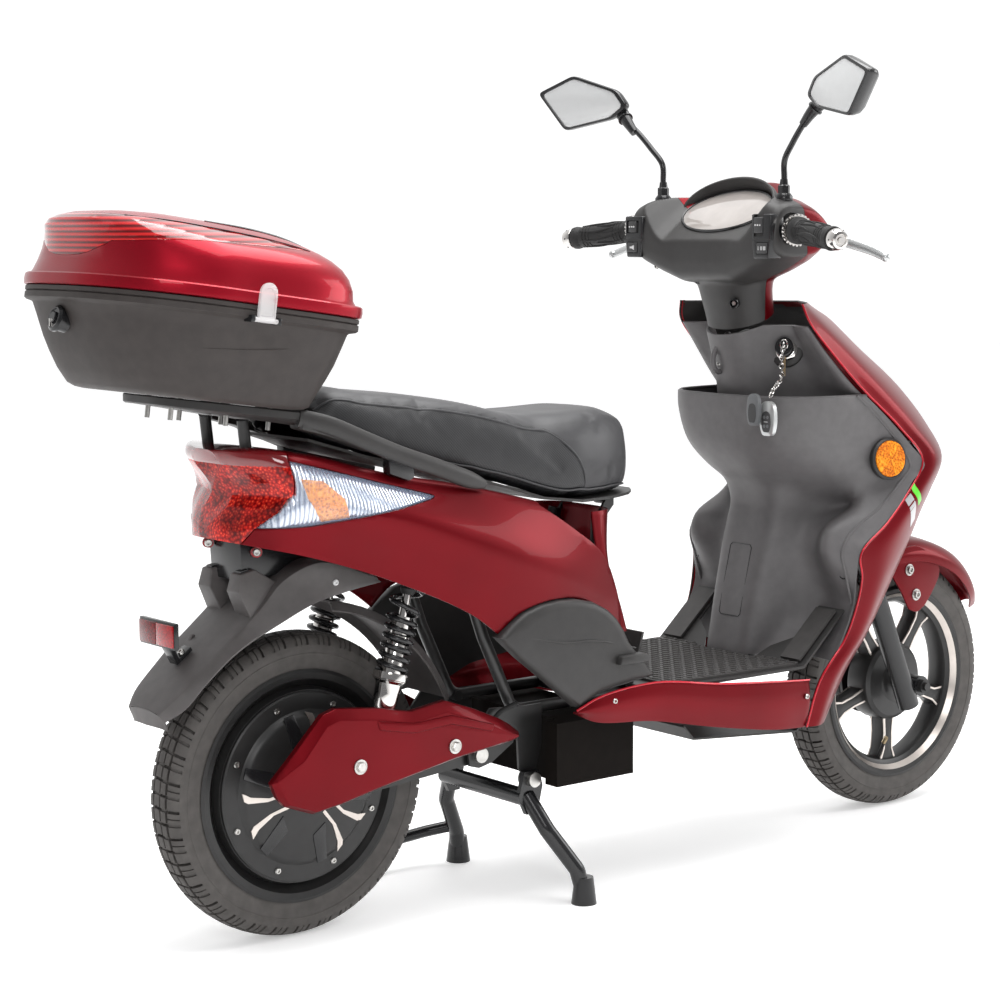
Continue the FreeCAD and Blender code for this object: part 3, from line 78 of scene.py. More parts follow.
# ---------------------------------------------------------------- materials
class Nodes:
    """Short names for building one material's node tree."""

    def __init__(self, name):
        self.material = bpy.data.materials.new(name)
        self.material.use_nodes = True
        self.tree = self.material.node_tree
        self.shader = next(n for n in self.tree.nodes if n.type == "BSDF_PRINCIPLED")
        self.place = None

    def add(self, kind, **values):
        node = self.tree.nodes.new("ShaderNode" + kind)
        for key, value in values.items():
            if key in node.inputs:
                node.inputs[key].default_value = value
            else:
                setattr(node, key, value)
        return node

    def link(self, source, target):
        self.tree.links.new(source, target)

    def spot(self, scale=(1, 1, 1)):
        """Object coordinates, stretched."""
        if self.place is None:
            self.place = self.add("TexCoord")
        mapping = self.add("Mapping")
        mapping.inputs["Scale"].default_value = scale
        self.link(self.place.outputs["Object"], mapping.inputs["Vector"])
        return mapping.outputs["Vector"]

    def noise(self, scale, detail=3.0, rough=0.5, stretch=(1, 1, 1)):
        node = self.add("TexNoise", Scale=scale, Detail=detail, Roughness=rough)
        self.link(self.spot(stretch), node.inputs["Vector"])
        return node.outputs["Fac"]

    def cells(self, scale, feature="F1", stretch=(1, 1, 1)):
        node = self.add("TexVoronoi", Scale=scale)
        node.feature = feature
        self.link(self.spot(stretch), node.inputs["Vector"])
        return node.outputs["Distance"]

    def wave(self, scale, direction="Z", profile="SIN", distortion=0.0, stretch=(1, 1, 1)):
        node = self.add("TexWave", Scale=scale, Distortion=distortion)
        node.bands_direction, node.wave_profile = direction, profile
        self.link(self.spot(stretch), node.inputs["Vector"])
        return node.outputs["Fac"]

    def bump(self, height, strength, distance=0.0004):
        node = self.add("Bump", Strength=strength, Distance=distance)
        self.link(height, node.inputs["Height"])
        previous = self.shader.inputs["Normal"].links
        if previous:
            self.link(previous[0].from_socket, node.inputs["Normal"])
        self.link(node.outputs["Normal"], self.shader.inputs["Normal"])
        return node

    def ramp(self, factor, *stops):
        node = self.add("ValToRGB")
        while len(node.color_ramp.elements) < len(stops):
            node.color_ramp.elements.new(0.5)
        for element, (at, colour) in zip(node.color_ramp.elements, stops):
            element.position, element.color = at, (*colour, 1) if len(colour) == 3 else colour
        self.link(factor, node.inputs["Fac"])
        return node.outputs["Color"]

    def colour(self, socket):
        self.link(socket, self.shader.inputs["Base Color"])

    def rough(self, factor, low, high):
        node = self.add("MapRange")
        node.inputs["To Min"].default_value, node.inputs["To Max"].default_value = low, high
        self.link(factor, node.inputs["Value"])
        self.link(node.outputs["Result"], self.shader.inputs["Roughness"])


def finish_of(name, colour, rough=0.5, metal=0.0, coat=0.0, coat_rough=0.03, spec=0.5, mottle=0.0,
              mottle_scale=60,
              grain=0.0, grain_scale=900, grain_deep=0.0003, rough_spread=0.0, alpha=None):
    """A Principled finish with a little procedural variation of colour, gloss and grain."""
    n = Nodes(name)
    s = n.shader.inputs
    s["Base Color"].default_value = (*colour, 1)
    s["Roughness"].default_value, s["Metallic"].default_value = rough, metal
    s["Coat Weight"].default_value, s["Coat Roughness"].default_value = coat, coat_rough
    s["Specular IOR Level"].default_value = spec
    if mottle:
        low = tuple(c * (1 - mottle) for c in colour)
        high = tuple(min(1, c * (1 + mottle)) for c in colour)
        n.colour(n.ramp(n.noise(mottle_scale), (0.3, low), (0.7, high)))
    if rough_spread:
        n.rough(n.noise(35, 4), rough - rough_spread, rough + rough_spread)
    if grain:
        n.bump(n.noise(grain_scale, 2), grain, grain_deep)
    if alpha is not None:
        s["Alpha"].default_value = alpha
    return n


def candy_red(name, deep, bright, coat=1.0):
    """Metallic red under clear lacquer: flakes and a slow drift of tone."""
    n = finish_of(name, deep, rough=0.36, metal=0.6, coat=coat, coat_rough=0.02, spec=0.12)
    n.shader.inputs["Coat IOR"].default_value = 1.38
    n.colour(n.ramp(n.noise(7, 2), (0.25, deep), (0.8, bright)))
    n.bump(n.noise(2600, 1), 0.05, 0.0001)
    return n.material


RED = candy_red("red_paint", (0.118, 0.0011, 0.004), (0.158, 0.0015, 0.0058), 0.17)
# The lid's red is a brighter copy of the body red with more lacquer: painted light for the lid's paler, lit look.
LID_RED_PAINTED_LIGHT = candy_red("red_lid_painted_light", (0.24, 0.003, 0.011), (0.32, 0.004, 0.015), 0.36)
# Brighter red for the thin rods along the panel edges: a painted highlight for light caught on the edges.
RED_EDGE_HIGHLIGHT = candy_red("red_edge_painted_highlight", (0.42, 0.008, 0.02), (0.5, 0.01, 0.025))
SHIELD_BLACK = finish_of("shield_black", (0.105, 0.1, 0.102), 0.5, spec=0.45, mottle=0.08, grain=0.4,
                         grain_scale=1500,
                         grain_deep=0.00012, rough_spread=0.04).material
GUARD_BLACK = finish_of("guard_black", (0.084, 0.077, 0.076), 0.5, spec=0.45, mottle=0.1, grain=0.4,
                        grain_scale=1300,
                        grain_deep=0.00014, rough_spread=0.05).material
PLASTIC = finish_of("black_shell", (0.026, 0.0245, 0.024), 0.47, spec=0.42, mottle=0.1, grain=0.35,
                    grain_scale=1500,
                    grain_deep=0.00012, rough_spread=0.04).material
BOX_BLACK = finish_of("box_black", (0.036, 0.030, 0.028), 0.6, spec=0.35, mottle=0.12, grain=0.5,
                      grain_scale=1300,
                      grain_deep=0.00015, rough_spread=0.05).material
GLOSS_BLACK = finish_of("gloss_black", (0.011, 0.011, 0.012), 0.22, spec=0.5, mottle=0.1,
                        rough_spread=0.04).material
STEEL_BLACK = finish_of("steel_black", (0.014, 0.0135, 0.0135), 0.36, spec=0.5, mottle=0.15, grain=0.15,
                        grain_scale=400,
                        rough_spread=0.06).material
CHROME = finish_of("chrome", (0.62, 0.6, 0.58), 0.1, 1.0, mottle=0.05, mottle_scale=30,
                   rough_spread=0.03).material
ZINC = finish_of("zinc", (0.5, 0.49, 0.47), 0.3, 1.0, mottle=0.12, mottle_scale=90, rough_spread=0.08).material
BRASSY = finish_of("yellow_zinc", (0.42, 0.33, 0.2), 0.35, 1.0, mottle=0.15, mottle_scale=90).material
ALLOY = finish_of("machined_edge", (0.58, 0.53, 0.49), 0.32, 0.9, mottle=0.06, rough_spread=0.05).material
CAST = finish_of("cast_black", (0.02, 0.0195, 0.0195), 0.38, 0.25, spec=0.5, mottle=0.12, grain=0.15,
                 grain_scale=500,
                 rough_spread=0.05).material
TYRE = finish_of("tyre_rubber", (0.075, 0.069, 0.065), 0.66, spec=0.36, mottle=0.16, grain=0.4, grain_scale=700,
                 rough_spread=0.06).material
RUBBER = finish_of("grip_rubber", (0.016, 0.0155, 0.0155), 0.6, spec=0.4, mottle=0.12, grain=0.2).material
CASE_BLACK = finish_of("case_black", (0.0065, 0.005, 0.0042), 0.72, spec=0.07, mottle=0.12, grain=0.3).material
GREY = finish_of("grey_plastic", (0.12, 0.125, 0.13), 0.45, mottle=0.05, grain=0.1).material
SILVER = finish_of("silver_plastic", (0.5, 0.51, 0.51), 0.3, 0.65, coat=0.3, mottle=0.05).material
PALE = finish_of("pale_mark", (0.62, 0.62, 0.62), 0.4, mottle=0.03).material
DECAL_GREY = finish_of("decal_silver", (0.42, 0.42, 0.43), 0.3, 0.3, coat=0.4, mottle=0.03).material
GREEN = finish_of("decal_green", (0.1, 0.62, 0.02), 0.35, coat=0.4, mottle=0.03).material
MAT_RUBBER = finish_of("floor_rubber", (0.046, 0.043, 0.042), 0.55, spec=0.4, mottle=0.12, grain=0.15).material


def vinyl(name, woven):
    """Black seat cover: leather grain on top, a small woven diamond on the rear sides."""
    n = finish_of(name, (0.022, 0.022, 0.0235) if woven else (0.04, 0.0395, 0.042), 0.46, spec=0.42,
                  mottle=0.08)
    if woven:
        n.bump(n.wave(150, "DIAGONAL", stretch=(1, 0.2, 1)), 0.35, 0.0003)
        n.bump(n.wave(150, "DIAGONAL", stretch=(-1, 0.2, 1)), 0.35, 0.0003)
    else:
        n.bump(n.cells(520, "DISTANCE_TO_EDGE"), 0.12, 0.0004)
        n.bump(n.noise(900, 3), 0.25, 0.0002)
    n.rough(n.noise(30, 3), 0.4, 0.52)
    return n.material


VINYL, VINYL_SIDE = vinyl("seat_vinyl", False), vinyl("seat_vinyl_woven", True)


def lamp(name, colour, facet_highlight, facets, rough=0.08, stripes=None, deep=0.0008):
    """Moulded lens plastic: a faceted inner pattern seen through a glossy skin, the facets coloured from painted shade
    to painted highlight.
    """
    n = finish_of(name, colour, rough, coat=0.7, coat_rough=0.02, spec=0.25)
    # Dark and bright ends of the facet colour: painted shade and painted highlights on the prisms.
    dark = tuple(c * 0.3 for c in colour)
    pattern = n.wave(stripes, "Z", "SIN") if stripes else n.cells(facets)
    n.colour(n.ramp(pattern, (0.0, dark), (0.45, colour), (1.0, facet_highlight)))
    n.bump(n.cells(facets) if not stripes else pattern, 0.5, deep)
    n.shader.inputs["Coat Normal"].default_value = (0, 0, 0)
    return n.material




def tail_lens():
    """Deep red skin over small prisms whose sparkle is painted into the colour as bright glints, with a slow drift
    from dark to light.
    """
    n = finish_of("tail_lens", (0.4, 0.004, 0.004), 0.1, coat=0.35, coat_rough=0.02, spec=0.12)
    # Bright cells over the prisms: painted glints.
    painted_glints = n.ramp(n.cells(230), (0.0, (1.0, 0.16, 0.06)), (0.3, (0.72, 0.02, 0.012)),
                    (0.75, (0.2, 0.001, 0.002)))
    drift = n.ramp(n.noise(26, 2), (0.38, (0.42, 0.4, 0.4)), (0.62, (1, 1, 1)))
    blend = n.add("MixRGB", blend_type="MULTIPLY", Fac=1.0)
    n.link(painted_glints, blend.inputs["Color1"])
    n.link(drift, blend.inputs["Color2"])
    n.colour(blend.outputs["Color"])
    n.bump(n.cells(230), 0.35, 0.0006)
    n.shader.inputs["Coat Normal"].default_value = (0, 0, 0)
    return n.material


TAIL_RED = tail_lens()
BOX_RED = lamp("box_lens", (0.30, 0.005, 0.009), (0.62, 0.02, 0.02), 60, stripes=46)
AMBER = lamp("amber_lens", (0.8, 0.22, 0.005), (1.0, 0.42, 0.03), 260, deep=0.0004)
REFLECT_RED = lamp("red_reflex", (0.3, 0.003, 0.006), (0.44, 0.006, 0.01), 330, deep=0.0003)
CLEAR = finish_of("clear_cover", (0.5, 0.64, 0.9), 0.04, coat=0.6, alpha=0.11).material
CLEAR_LATCH = finish_of("clear_latch", (0.9, 0.88, 0.88), 0.06, coat=1.0, alpha=0.42).material
MIRROR = finish_of("mirror_glass", (0.62, 0.63, 0.63), 0.3, 0.35, mottle=0.02).material
DASH = finish_of("dash_glass", (0.36, 0.33, 0.31), 0.08, coat=1.0, mottle=0.08, mottle_scale=25).material
BULB = lamp("indicator_bulb", (0.95, 0.3, 0.005), (1.0, 0.5, 0.04), 240, rough=0.3)
REFLECTOR_BOWL = Nodes("lamp_bowl")
REFLECTOR_BOWL.shader.inputs["Metallic"].default_value = 0.75
REFLECTOR_BOWL.shader.inputs["Roughness"].default_value = 0.22
# Colour banded from blue-grey to near white along the same ridges as the bump: painted reflections on the metal bowl.
REFLECTOR_BOWL.colour(REFLECTOR_BOWL.ramp(REFLECTOR_BOWL.wave(58, "X", "SIN", 3.5, (1, 1, -0.5)),
                                          (0.1, (0.42, 0.45, 0.52)), (0.4, (0.8, 0.84, 0.9)),
                                          (0.6, (0.96, 0.97, 0.99))))
REFLECTOR_BOWL.bump(REFLECTOR_BOWL.wave(58, "X", "SIN", 3.5, (1, 1, -0.5)), 0.4, 0.002)
REFLECTOR_BOWL = REFLECTOR_BOWL.material


# ---------------------------------------------------------------- curves and surfaces
def through(p0, p1, p2, p3, t):
    """A point between p1 and p2 on the centripetal curve through all four."""
    t1 = max((p1 - p0).length, 1e-6) ** 0.5
    t2 = t1 + max((p2 - p1).length, 1e-6) ** 0.5
    t3 = t2 + max((p3 - p2).length, 1e-6) ** 0.5
    u = t1 + (t2 - t1) * t
    a = p0.lerp(p1, u / t1)
    b = p1.lerp(p2, (u - t1) / (t2 - t1))
    c = p2.lerp(p3, (u - t2) / (t3 - t2))
    d = a.lerp(b, u / t2)
    e = b.lerp(c, (u - t1) / (t3 - t1))
    return d.lerp(e, (u - t1) / (t2 - t1))


def spline(points, steps=8, hard=(), closed=False):
    """Points along a smooth line through the given ones, with corners kept at the hard ones."""
    pts = [Vector(p) for p in points]
    n, out = len(pts), []
    for i in range(n if closed else n - 1):
        j = (i + 1) % n
        a, b = pts[i], pts[j]
        before = pts[i - 1] if (closed or i > 0) and i not in hard else a * 2 - b
        after = pts[(i + 2) % n] if (closed or i + 2 < n) and j not in hard else b * 2 - a
        out += [through(before, a, b, after, k / steps) for k in range(steps)]
    return out if closed else out + [pts[-1]]


def patch(rows, across=6, along=6, hard_columns=(), hard_rows=(), closed=False):
    """A smooth grid through rows of points."""
    wide = [spline(row, across, hard_columns, closed) for row in rows]
    tall = [spline(column, along, hard_rows) for column in zip(*wide)]
    return [list(row) for row in zip(*tall)]


def grid_faces(rows, columns, closed=False):
    span = columns if closed else columns - 1
    return [(r * columns + c, r * columns + (c + 1) % columns, (r + 1) * columns + (c + 1) % columns,
             (r + 1) * columns + c) for r in range(rows - 1) for c in range(span)]


def make(name, points, faces, material, flip=False):
    """A mesh object from millimetre points."""
    data = bpy.data.meshes.new(name)
    data.from_pydata([world(p) for p in points], [], [tuple(reversed(f)) if flip else f for f in faces])
    data.update()
    thing = bpy.data.objects.new(name, data)
    bpy.context.scene.collection.objects.link(thing)
    if material:
        data.materials.append(material)
    return thing


def surface(name, grid, material, closed=False, caps=False, flip=False):
    """A mesh from a grid of points; closed joins each row's ends, caps fill the first and last rows."""
    rows, columns = len(grid), len(grid[0])
    faces = grid_faces(rows, columns, closed)
    if caps:
        faces += [tuple(reversed(range(columns))), tuple(range((rows - 1) * columns, rows * columns))]
    return make(name, [p for row in grid for p in row], faces, material, flip)


def face_outwards(thing):
    mesh = bmesh.new()
    mesh.from_mesh(thing.data)
    bmesh.ops.recalc_face_normals(mesh, faces=mesh.faces)
    mesh.to_mesh(thing.data)
    mesh.free()
    return thing


def settle(thing, angle=35):
    """Bakes the modifiers and smooths every edge flatter than the angle."""
    if thing.modifiers:
        ready = bpy.data.meshes.new_from_object(thing.evaluated_get(bpy.context.evaluated_depsgraph_get()))
        thing.modifiers.clear()
        thing.data = ready
    thing.data.shade_smooth()
    thing.data.set_sharp_from_angle(angle=math.radians(angle))
    return thing


def thicken(thing, thickness, offset=-1):
    change = thing.modifiers.new("wall", "SOLIDIFY")
    change.thickness, change.offset = thickness * MM, offset
    change.use_even_offset = True
    return thing


def round_edges(thing, width, segments=2, angle=32):
    change = thing.modifiers.new("edges", "BEVEL")
    change.width, change.segments = width * MM, segments
    change.limit_method, change.angle_limit = "ANGLE", math.radians(angle)
    change.use_clamp_overlap = True
    return thing


def boolean(thing, other, operation, keep_other=False):
    """Cuts or joins with another closed mesh and bakes the result."""
    change = thing.modifiers.new("cut", "BOOLEAN")
    change.operation, change.object, change.solver = operation, other, "EXACT"
    ready = bpy.data.meshes.new_from_object(thing.evaluated_get(bpy.context.evaluated_depsgraph_get()))
    thing.modifiers.clear()
    thing.data = ready
    if not keep_other:
        bpy.data.objects.remove(other)
    return thing


def copy_of(thing, name):
    twin = thing.copy()
    twin.data = thing.data.copy()
    twin.name = name
    bpy.context.scene.collection.objects.link(twin)
    return twin


def mirror(thing, name):
    """The same piece on the other side."""
    twin = copy_of(thing, name)
    twin.data.transform(Matrix.Scale(-1, 4, (0, 1, 0)))
    twin.data.flip_normals()
    return twin


def ride(thing, body, *nodes, slot=None):
    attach(thing, body)
    if nodes:
        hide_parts(*nodes)
    return thing


def prism(corners, low, high, axis="Y", material=None, name="cutter"):
    """A closed prism from an outline of (x, z), (x, y) or (y, z) corners."""
    place = {"Y": lambda a, b, t: (a, t, b), "Z": lambda a, b, t: (a, b, t), "X": lambda a, b,
             t: (t, a, b)}[axis]
    n = len(corners)
    points = [place(a, b, t) for t in (low, high) for a, b in corners]
    faces = [tuple(range(n)), tuple(range(n, 2 * n))] + [(i, (i + 1) % n, n + (i + 1) % n,
                                                          n + i) for i in range(n)]
    return face_outwards(make(name, points, faces, material))


def frame_along(direction):
    """Two unit vectors square to a direction."""
    d = Vector(direction).normalized()
    side = d.cross(Vector((0, 0, 1)) if abs(d.z) < 0.9 else Vector((1, 0, 0))).normalized()
    return side, side.cross(d)


def lathe(name, profile, foot, direction, material, segments=48, start=0.0, squeeze=(1, 1)):
    """A turned piece: profile of (radius, distance along the direction), closed on the axis if it ends there."""
    u, w = frame_along(direction)
    d, foot = Vector(direction).normalized(), Vector(foot)
    grid = []
    for r, a in profile:
        turns = [start + math.tau * k / segments for k in range(segments)]
        grid.append([foot + d * a + (u * math.cos(t) * squeeze[0] + w * math.sin(t) * squeeze[1]) * max(r, 0.01)
                     for t in turns])
    return face_outwards(surface(name, grid, material, closed=True, caps=profile[0] != profile[-1]))


def ring(name, profile, foot, direction, material, segments=96):
    """A turned piece whose profile closes on itself away from the axis."""
    piece = lathe(name, list(profile) + [profile[0]], foot, direction, material, segments)
    mesh = bmesh.new()
    mesh.from_mesh(piece.data)
    bmesh.ops.remove_doubles(mesh, verts=mesh.verts, dist=1e-7)
    bmesh.ops.recalc_face_normals(mesh, faces=mesh.faces)
    mesh.to_mesh(piece.data)
    mesh.free()
    return piece


def pipe(name, points, radius, material, smooth=True, sides=12, steps=6, closed=False, taper=None,
         flat=(1, 1), up=None):
    """A round or oval bar along a smooth line; taper is a function giving a share of the radius along the bar."""
    line = spline(points, steps, closed=closed) if smooth else [Vector(p) for p in points]
    count, grid = len(line), []
    normal = Vector(up) if up else frame_along(line[1] - line[0])[0]
    for i, spot in enumerate(line):
        ahead = line[(i + 1) % count] if closed or i + 1 < count else spot
        behind = line[i - 1] if closed or i > 0 else spot
        run = (ahead - behind).normalized()
        normal = (normal - run * normal.dot(run)).normalized()
        other = run.cross(normal)
        share = taper(i / (count - 1)) if taper else 1.0
        turns = [math.tau * k / sides for k in range(sides)]
        grid.append([spot + (normal * math.cos(t) * flat[0] + other * math.sin(t) * flat[1]) * radius * share
                     for t in turns])
    if closed:
        grid.append(grid[0])
    return face_outwards(surface(name, grid, material, closed=True, caps=not closed))


def join(name, things):
    """One piece from several, keeping their materials."""
    mesh, slots = bmesh.new(), []
    for thing in things:
        part = bmesh.new()
        part.from_mesh(thing.data)
        for face in part.faces:
            material = thing.data.materials[face.material_index] if thing.data.materials else None
            if material not in slots:
                slots.append(material)
            face.material_index = slots.index(material)
        scratch = bpy.data.meshes.new("scratch")
        part.to_mesh(scratch)
        mesh.from_mesh(scratch)
        part.free()
        bpy.data.meshes.remove(scratch)
        bpy.data.objects.remove(thing)
    data = bpy.data.meshes.new(name)
    for material in slots:
        data.materials.append(material)
    mesh.to_mesh(data)
    mesh.free()
    whole = bpy.data.objects.new(name, data)
    bpy.context.scene.collection.objects.link(whole)
    return whole


def screw(spot, out, radius=5, material=None, rise=2.4):
    """A domed cap screw with a round recess."""
    return lathe("screw", [(0.01, 0), (radius, 0), (radius, rise * 0.55), (radius * 0.8, rise),
                           (radius * 0.5, rise),
                           (radius * 0.42, rise * 0.35), (0.01, rise * 0.3)], spot, out, material or ZINC, 18)


FURTHEST_MARK = 1100


def drape(name, corners, side, target, material, lift=0.35, cuts=6):
    """A thin mark of four (x, z) corners dropped on to a piece's side; one that misses it is tried further forward."""
    tree = BVHTree.FromObject(target, bpy.context.evaluated_depsgraph_get())
    a, b, c, d = [Vector(p) for p in corners]
    grid = []
    for i in range(cuts + 1):
        row = []
        for j in range(cuts + 1):
            spot = a.lerp(b, i / cuts).lerp(d.lerp(c, i / cuts), j / cuts)
            origin = world((spot[0], side * 400, spot[1]))
            hit = tree.ray_cast(origin, Vector((0, -side, 0)))[0]
            if hit is None:
                if corners[0][0] >= FURTHEST_MARK:
                    return None
                return drape(name, [(x + 6, z) for x, z in corners], side, target, material)
            hit = hit + Vector((0, side * lift * MM, 0))
            row.append((hit.x / MM + REAR_AXLE_X, hit.y / MM, hit.z / MM))
        grid.append(row)
    return settle(thicken(face_outwards(surface(name, grid, material)), 0.3), 60)


# ---------------------------------------------------------------- wheels
REAR_AXLE, FRONT_AXLE = V(0, 0, 215), V(1217, 0, 215)
ACROSS = V(0, 1, 0)
TREAD_DEEP, SIPE_DEEP = 5.2, 2.2
PITCHES = 34


def tyre(name, centre, body, node):
    """Tyre with three rings of staggered blocks, cut by round-the-wheel grooves, cross grooves and fine sipes."""
    # across the tread: distance round the section, and how the surface lies there
    section = [(215, 0), (213.6, 14.8), (207.5, 26.4), (197, 33), (183, 33.6), (172, 31), (163, 29.5),
               (158, 28.5)]
    half = spline([V(r, y, 0) for r, y in section], 10)
    walk, lengths = 0.0, [0.0]
    for a, b in zip(half, half[1:]):
        walk += (b - a).length
        lengths.append(walk)

    def at(distance):
        d = abs(distance)
        i = next((k for k in range(1, len(lengths)) if lengths[k] >= d), len(lengths) - 1)
        share = (d - lengths[i - 1]) / max(lengths[i] - lengths[i - 1], 1e-6)
        p = half[i - 1].lerp(half[i], min(share, 1))
        run = (half[i] - half[i - 1]).normalized()
        sign = 1 if distance >= 0 else -1
        return V(p.x, p.y * sign), V(run.y, -run.x * sign)

    # (distance, ring number or None in a groove): rings 0 centre, 1 middle, 2 shoulder
    steps = [(0, 0), (3, 0), (6.2, 0), (6.6, None), (9.0, None), (9.4, 1), (13, 1), (18.0, 1), (18.4, None),
             (21.2, None), (21.6, 2), (26, 2), (31, 2), (36, 2), (38.5, 2), (39, 3), (43, 3), (47, 3), (50, 3),
             (50.5, 4), (52, 4), (52.5, 3), (58, 3), (64, 3), (70, 3), (walk, 3)]
    across = [(-d, z) for d, z in reversed(steps[1:])] + steps
    phases = [0, 0.012, 0.1, 0.112, 0.29, 0.302, 0.33, 0.342, 0.5, 0.512, 0.6, 0.612, 0.79, 0.802, 0.83, 0.842]

    def depth(zone, k):
        if zone is None:
            return TREAD_DEEP
        if zone >= 3:
            return -0.7 if zone == 4 else 0
        main, fine = ((1, 2), (9, 10)) if zone % 2 == 0 else ((9, 10), (1, 2))
        if k in main:
            return TREAD_DEEP
        return SIPE_DEEP if k in fine or (zone == 2 and k in (5, 6)) else 0

    grid = []
    for pitch in range(PITCHES):
        for k, phase in enumerate(phases):
            row = []
            for d, zone in across:
                turn = math.tau * (pitch + phase + 0.004 * abs(d)) / PITCHES
                p, out = at(d)
                p = p - out * depth(zone, k)
                row.append(centre + V(p.x * math.cos(turn), p.y, p.x * math.sin(turn)))
            grid.append(row)
    grid.append(grid[0])
    piece = face_outwards(surface(name, grid, TYRE))
    weld(piece)
    return ride(settle(piece, 28), body, node, slot="tyre")


def weld(piece, distance=1e-6):
    mesh = bmesh.new()
    mesh.from_mesh(piece.data)
    bmesh.ops.remove_doubles(mesh, verts=mesh.verts, dist=distance)
    bmesh.ops.recalc_face_normals(mesh, faces=mesh.faces)
    mesh.to_mesh(piece.data)
    mesh.free()
    return piece


def polar(centre, turn, radius, y):
    a = math.radians(turn)
    return centre + V(radius * math.cos(a), y, radius * math.sin(a))


def rim_band(centre, inner):
    section = [(164.5, 31.5), (160, 33.4), (151, 31.5), (146, 24), (inner + 4, 19), (inner, 11)]
    return ring("rim", section + [(r, -y) for r, y in reversed(section)] + [(157.6, -28.2), (157.6, 28.2)],
                centre,
                ACROSS, CAST)


def machined_ring(centre, side):
    return ring("machined", [(152.4, side * 32.1), (145.2, side * 23.4), (144.8, side * 24.2),
                             (152, side * 32.8)],
                centre, ACROSS, ALLOY)


def front_wheel():
    parts = [settle(rim_band(FRONT_AXLE, 134), 30)]
    parts += [machined_ring(FRONT_AXLE, s) for s in (RIGHT, LEFT)]
    hub = [(7.06, 34), (24, 34), (30, 33), (35, 29), (60, 26), (66, 21), (68, 14)]
    parts.append(settle(ring("hub", hub + [(r, -y) for r, y in reversed(hub)], FRONT_AXLE, ACROSS, CAST), 30))
    for i in range(5):
        turn = 53 + 72 * i
        a = math.radians(turn)
        out, over = V(math.cos(a), 0, math.sin(a)), V(-math.sin(a), 0, math.cos(a))
        outline = [(56, 13), (92, 10), (120, 11.5), (139, 20), (139, -20), (120, -11.5), (92, -10), (56, -13)]
        loops = [[FRONT_AXLE + out * r + over * w * share + V(0, y, 0) for r, w in outline]
                 for y, share in ((-15, 0.86), (-11, 1), (11, 1), (15, 0.86))]
        parts.append(round_edges(face_outwards(surface("spoke", loops, CAST, closed=True, caps=True)), 1.2))
        for side in (RIGHT, LEFT):
            for hand in (-1, 1):
                strip = [(60, 9.6), (92, 7.0), (119, 8.0), (139, 15.5), (139, 19.6), (120, 11.2), (92, 9.9),
                         (60, 12.7)]
                low, high = sorted((side * 13.2, side * 15.7))
                loops = [[FRONT_AXLE + out * r + over * w * hand + V(0, y, 0) for r,
                          w in strip] for y in (low, high)]
                parts.append(face_outwards(surface("edge", loops, ALLOY, closed=True, caps=True)))
    valve_foot = polar(FRONT_AXLE, 262, 134, -8)
    parts.append(pipe("valve", [valve_foot, polar(FRONT_AXLE, 262, 118, -14),
                                polar(FRONT_AXLE, 256, 106, -28)], 3.2,
                      RUBBER))
    parts.append(pipe("valve_cap", [polar(FRONT_AXLE, 256, 107, -27), polar(FRONT_AXLE, 254, 98, -34)], 3.9,
                      BRASSY,
                      smooth=False))
    for part in parts:
        settle(part, 30)
    ride(settle(join("front_rim", parts), 30), "front_wheel", "front_wheel", slot="cast_alloy")


def hub_surface(radius):
    """How far out the motor cover's face is at a radius."""
    return 54 - max(radius - 40, 0) * 0.125


def motor_face(side):
    """Bolted motor cover: rim flange, dished face, three bright arms and dark panels between them."""
    profile = [(20.1, 48), (20.1, 55), (30, 56), (36, 54.6), (44, 53.6), (60, 51.6), (100, 46.6), (104, 44.6),
               (107, 41), (110, 38.8), (132, 37.6), (134.5, 36), (134.5, 33)]
    parts = [settle(lathe("cover", [(r, a) for r, a in profile], REAR_AXLE, V(0, side, 0), CAST, 96), 25)]
    for turn in (74, 194, 314):
        for hand in (-1, 1):
            arm = [(38, 7), (70, 9), (98, 17), (103, 22), (103, 34), (92, 24), (66, 13), (38, 12)]
            a = math.radians(turn)
            out, over = V(math.cos(a), 0, math.sin(a)), V(-math.sin(a), 0, math.cos(a))
            loops = [[REAR_AXLE + out * r + over * w * hand + V(0, side * (hub_surface(r) + lift), 0) for r,
                      w in arm]
                     for lift in (-1.0, 0.7)]
            parts.append(face_outwards(surface("arm", loops, ALLOY, closed=True, caps=True)))
        for hand in (-1, 1):
            panel = [(52, 18), (96, 52), (88, 66), (50, 44)]
            a = math.radians(turn)
            out, over = V(math.cos(a), 0, math.sin(a)), V(-math.sin(a), 0, math.cos(a))
            loops = [[REAR_AXLE + out * r + over * w * hand
                      + V(0, side * (hub_surface(math.hypot(r, w)) + lift), 0) for r, w in panel]
                     for lift in (-1.5, 1.4)]
            parts.append(settle(round_edges(face_outwards(surface("panel", loops, GLOSS_BLACK, closed=True,
                                                                  caps=True)),
                                            1.2), 30))
    for i in range(8):
        parts.append(screw(polar(REAR_AXLE, 22 + 45 * i, 121, side * 38), V(0, side, 0), 4.6, ZINC, 3))
    return parts


def rear_wheel():
    parts = [settle(rim_band(REAR_AXLE, 136), 30)]
    drum = [(118, 33), (136, 32), (140, 18), (146, 14)]
    parts.append(settle(ring("drum", drum + [(r, -y) for r, y in reversed(drum)], REAR_AXLE, ACROSS, CAST), 30))
    for side in (RIGHT, LEFT):
        parts += motor_face(side)
    ride(settle(join("motor_hub", parts), 28), "rear_wheel", "hub_motor", slot="cast_alloy")


tyre("rear_tread", REAR_AXLE, "rear_wheel", "rear_tyre")
tyre("front_tread", FRONT_AXLE, "front_wheel", "front_tyre")
front_wheel()
rear_wheel()


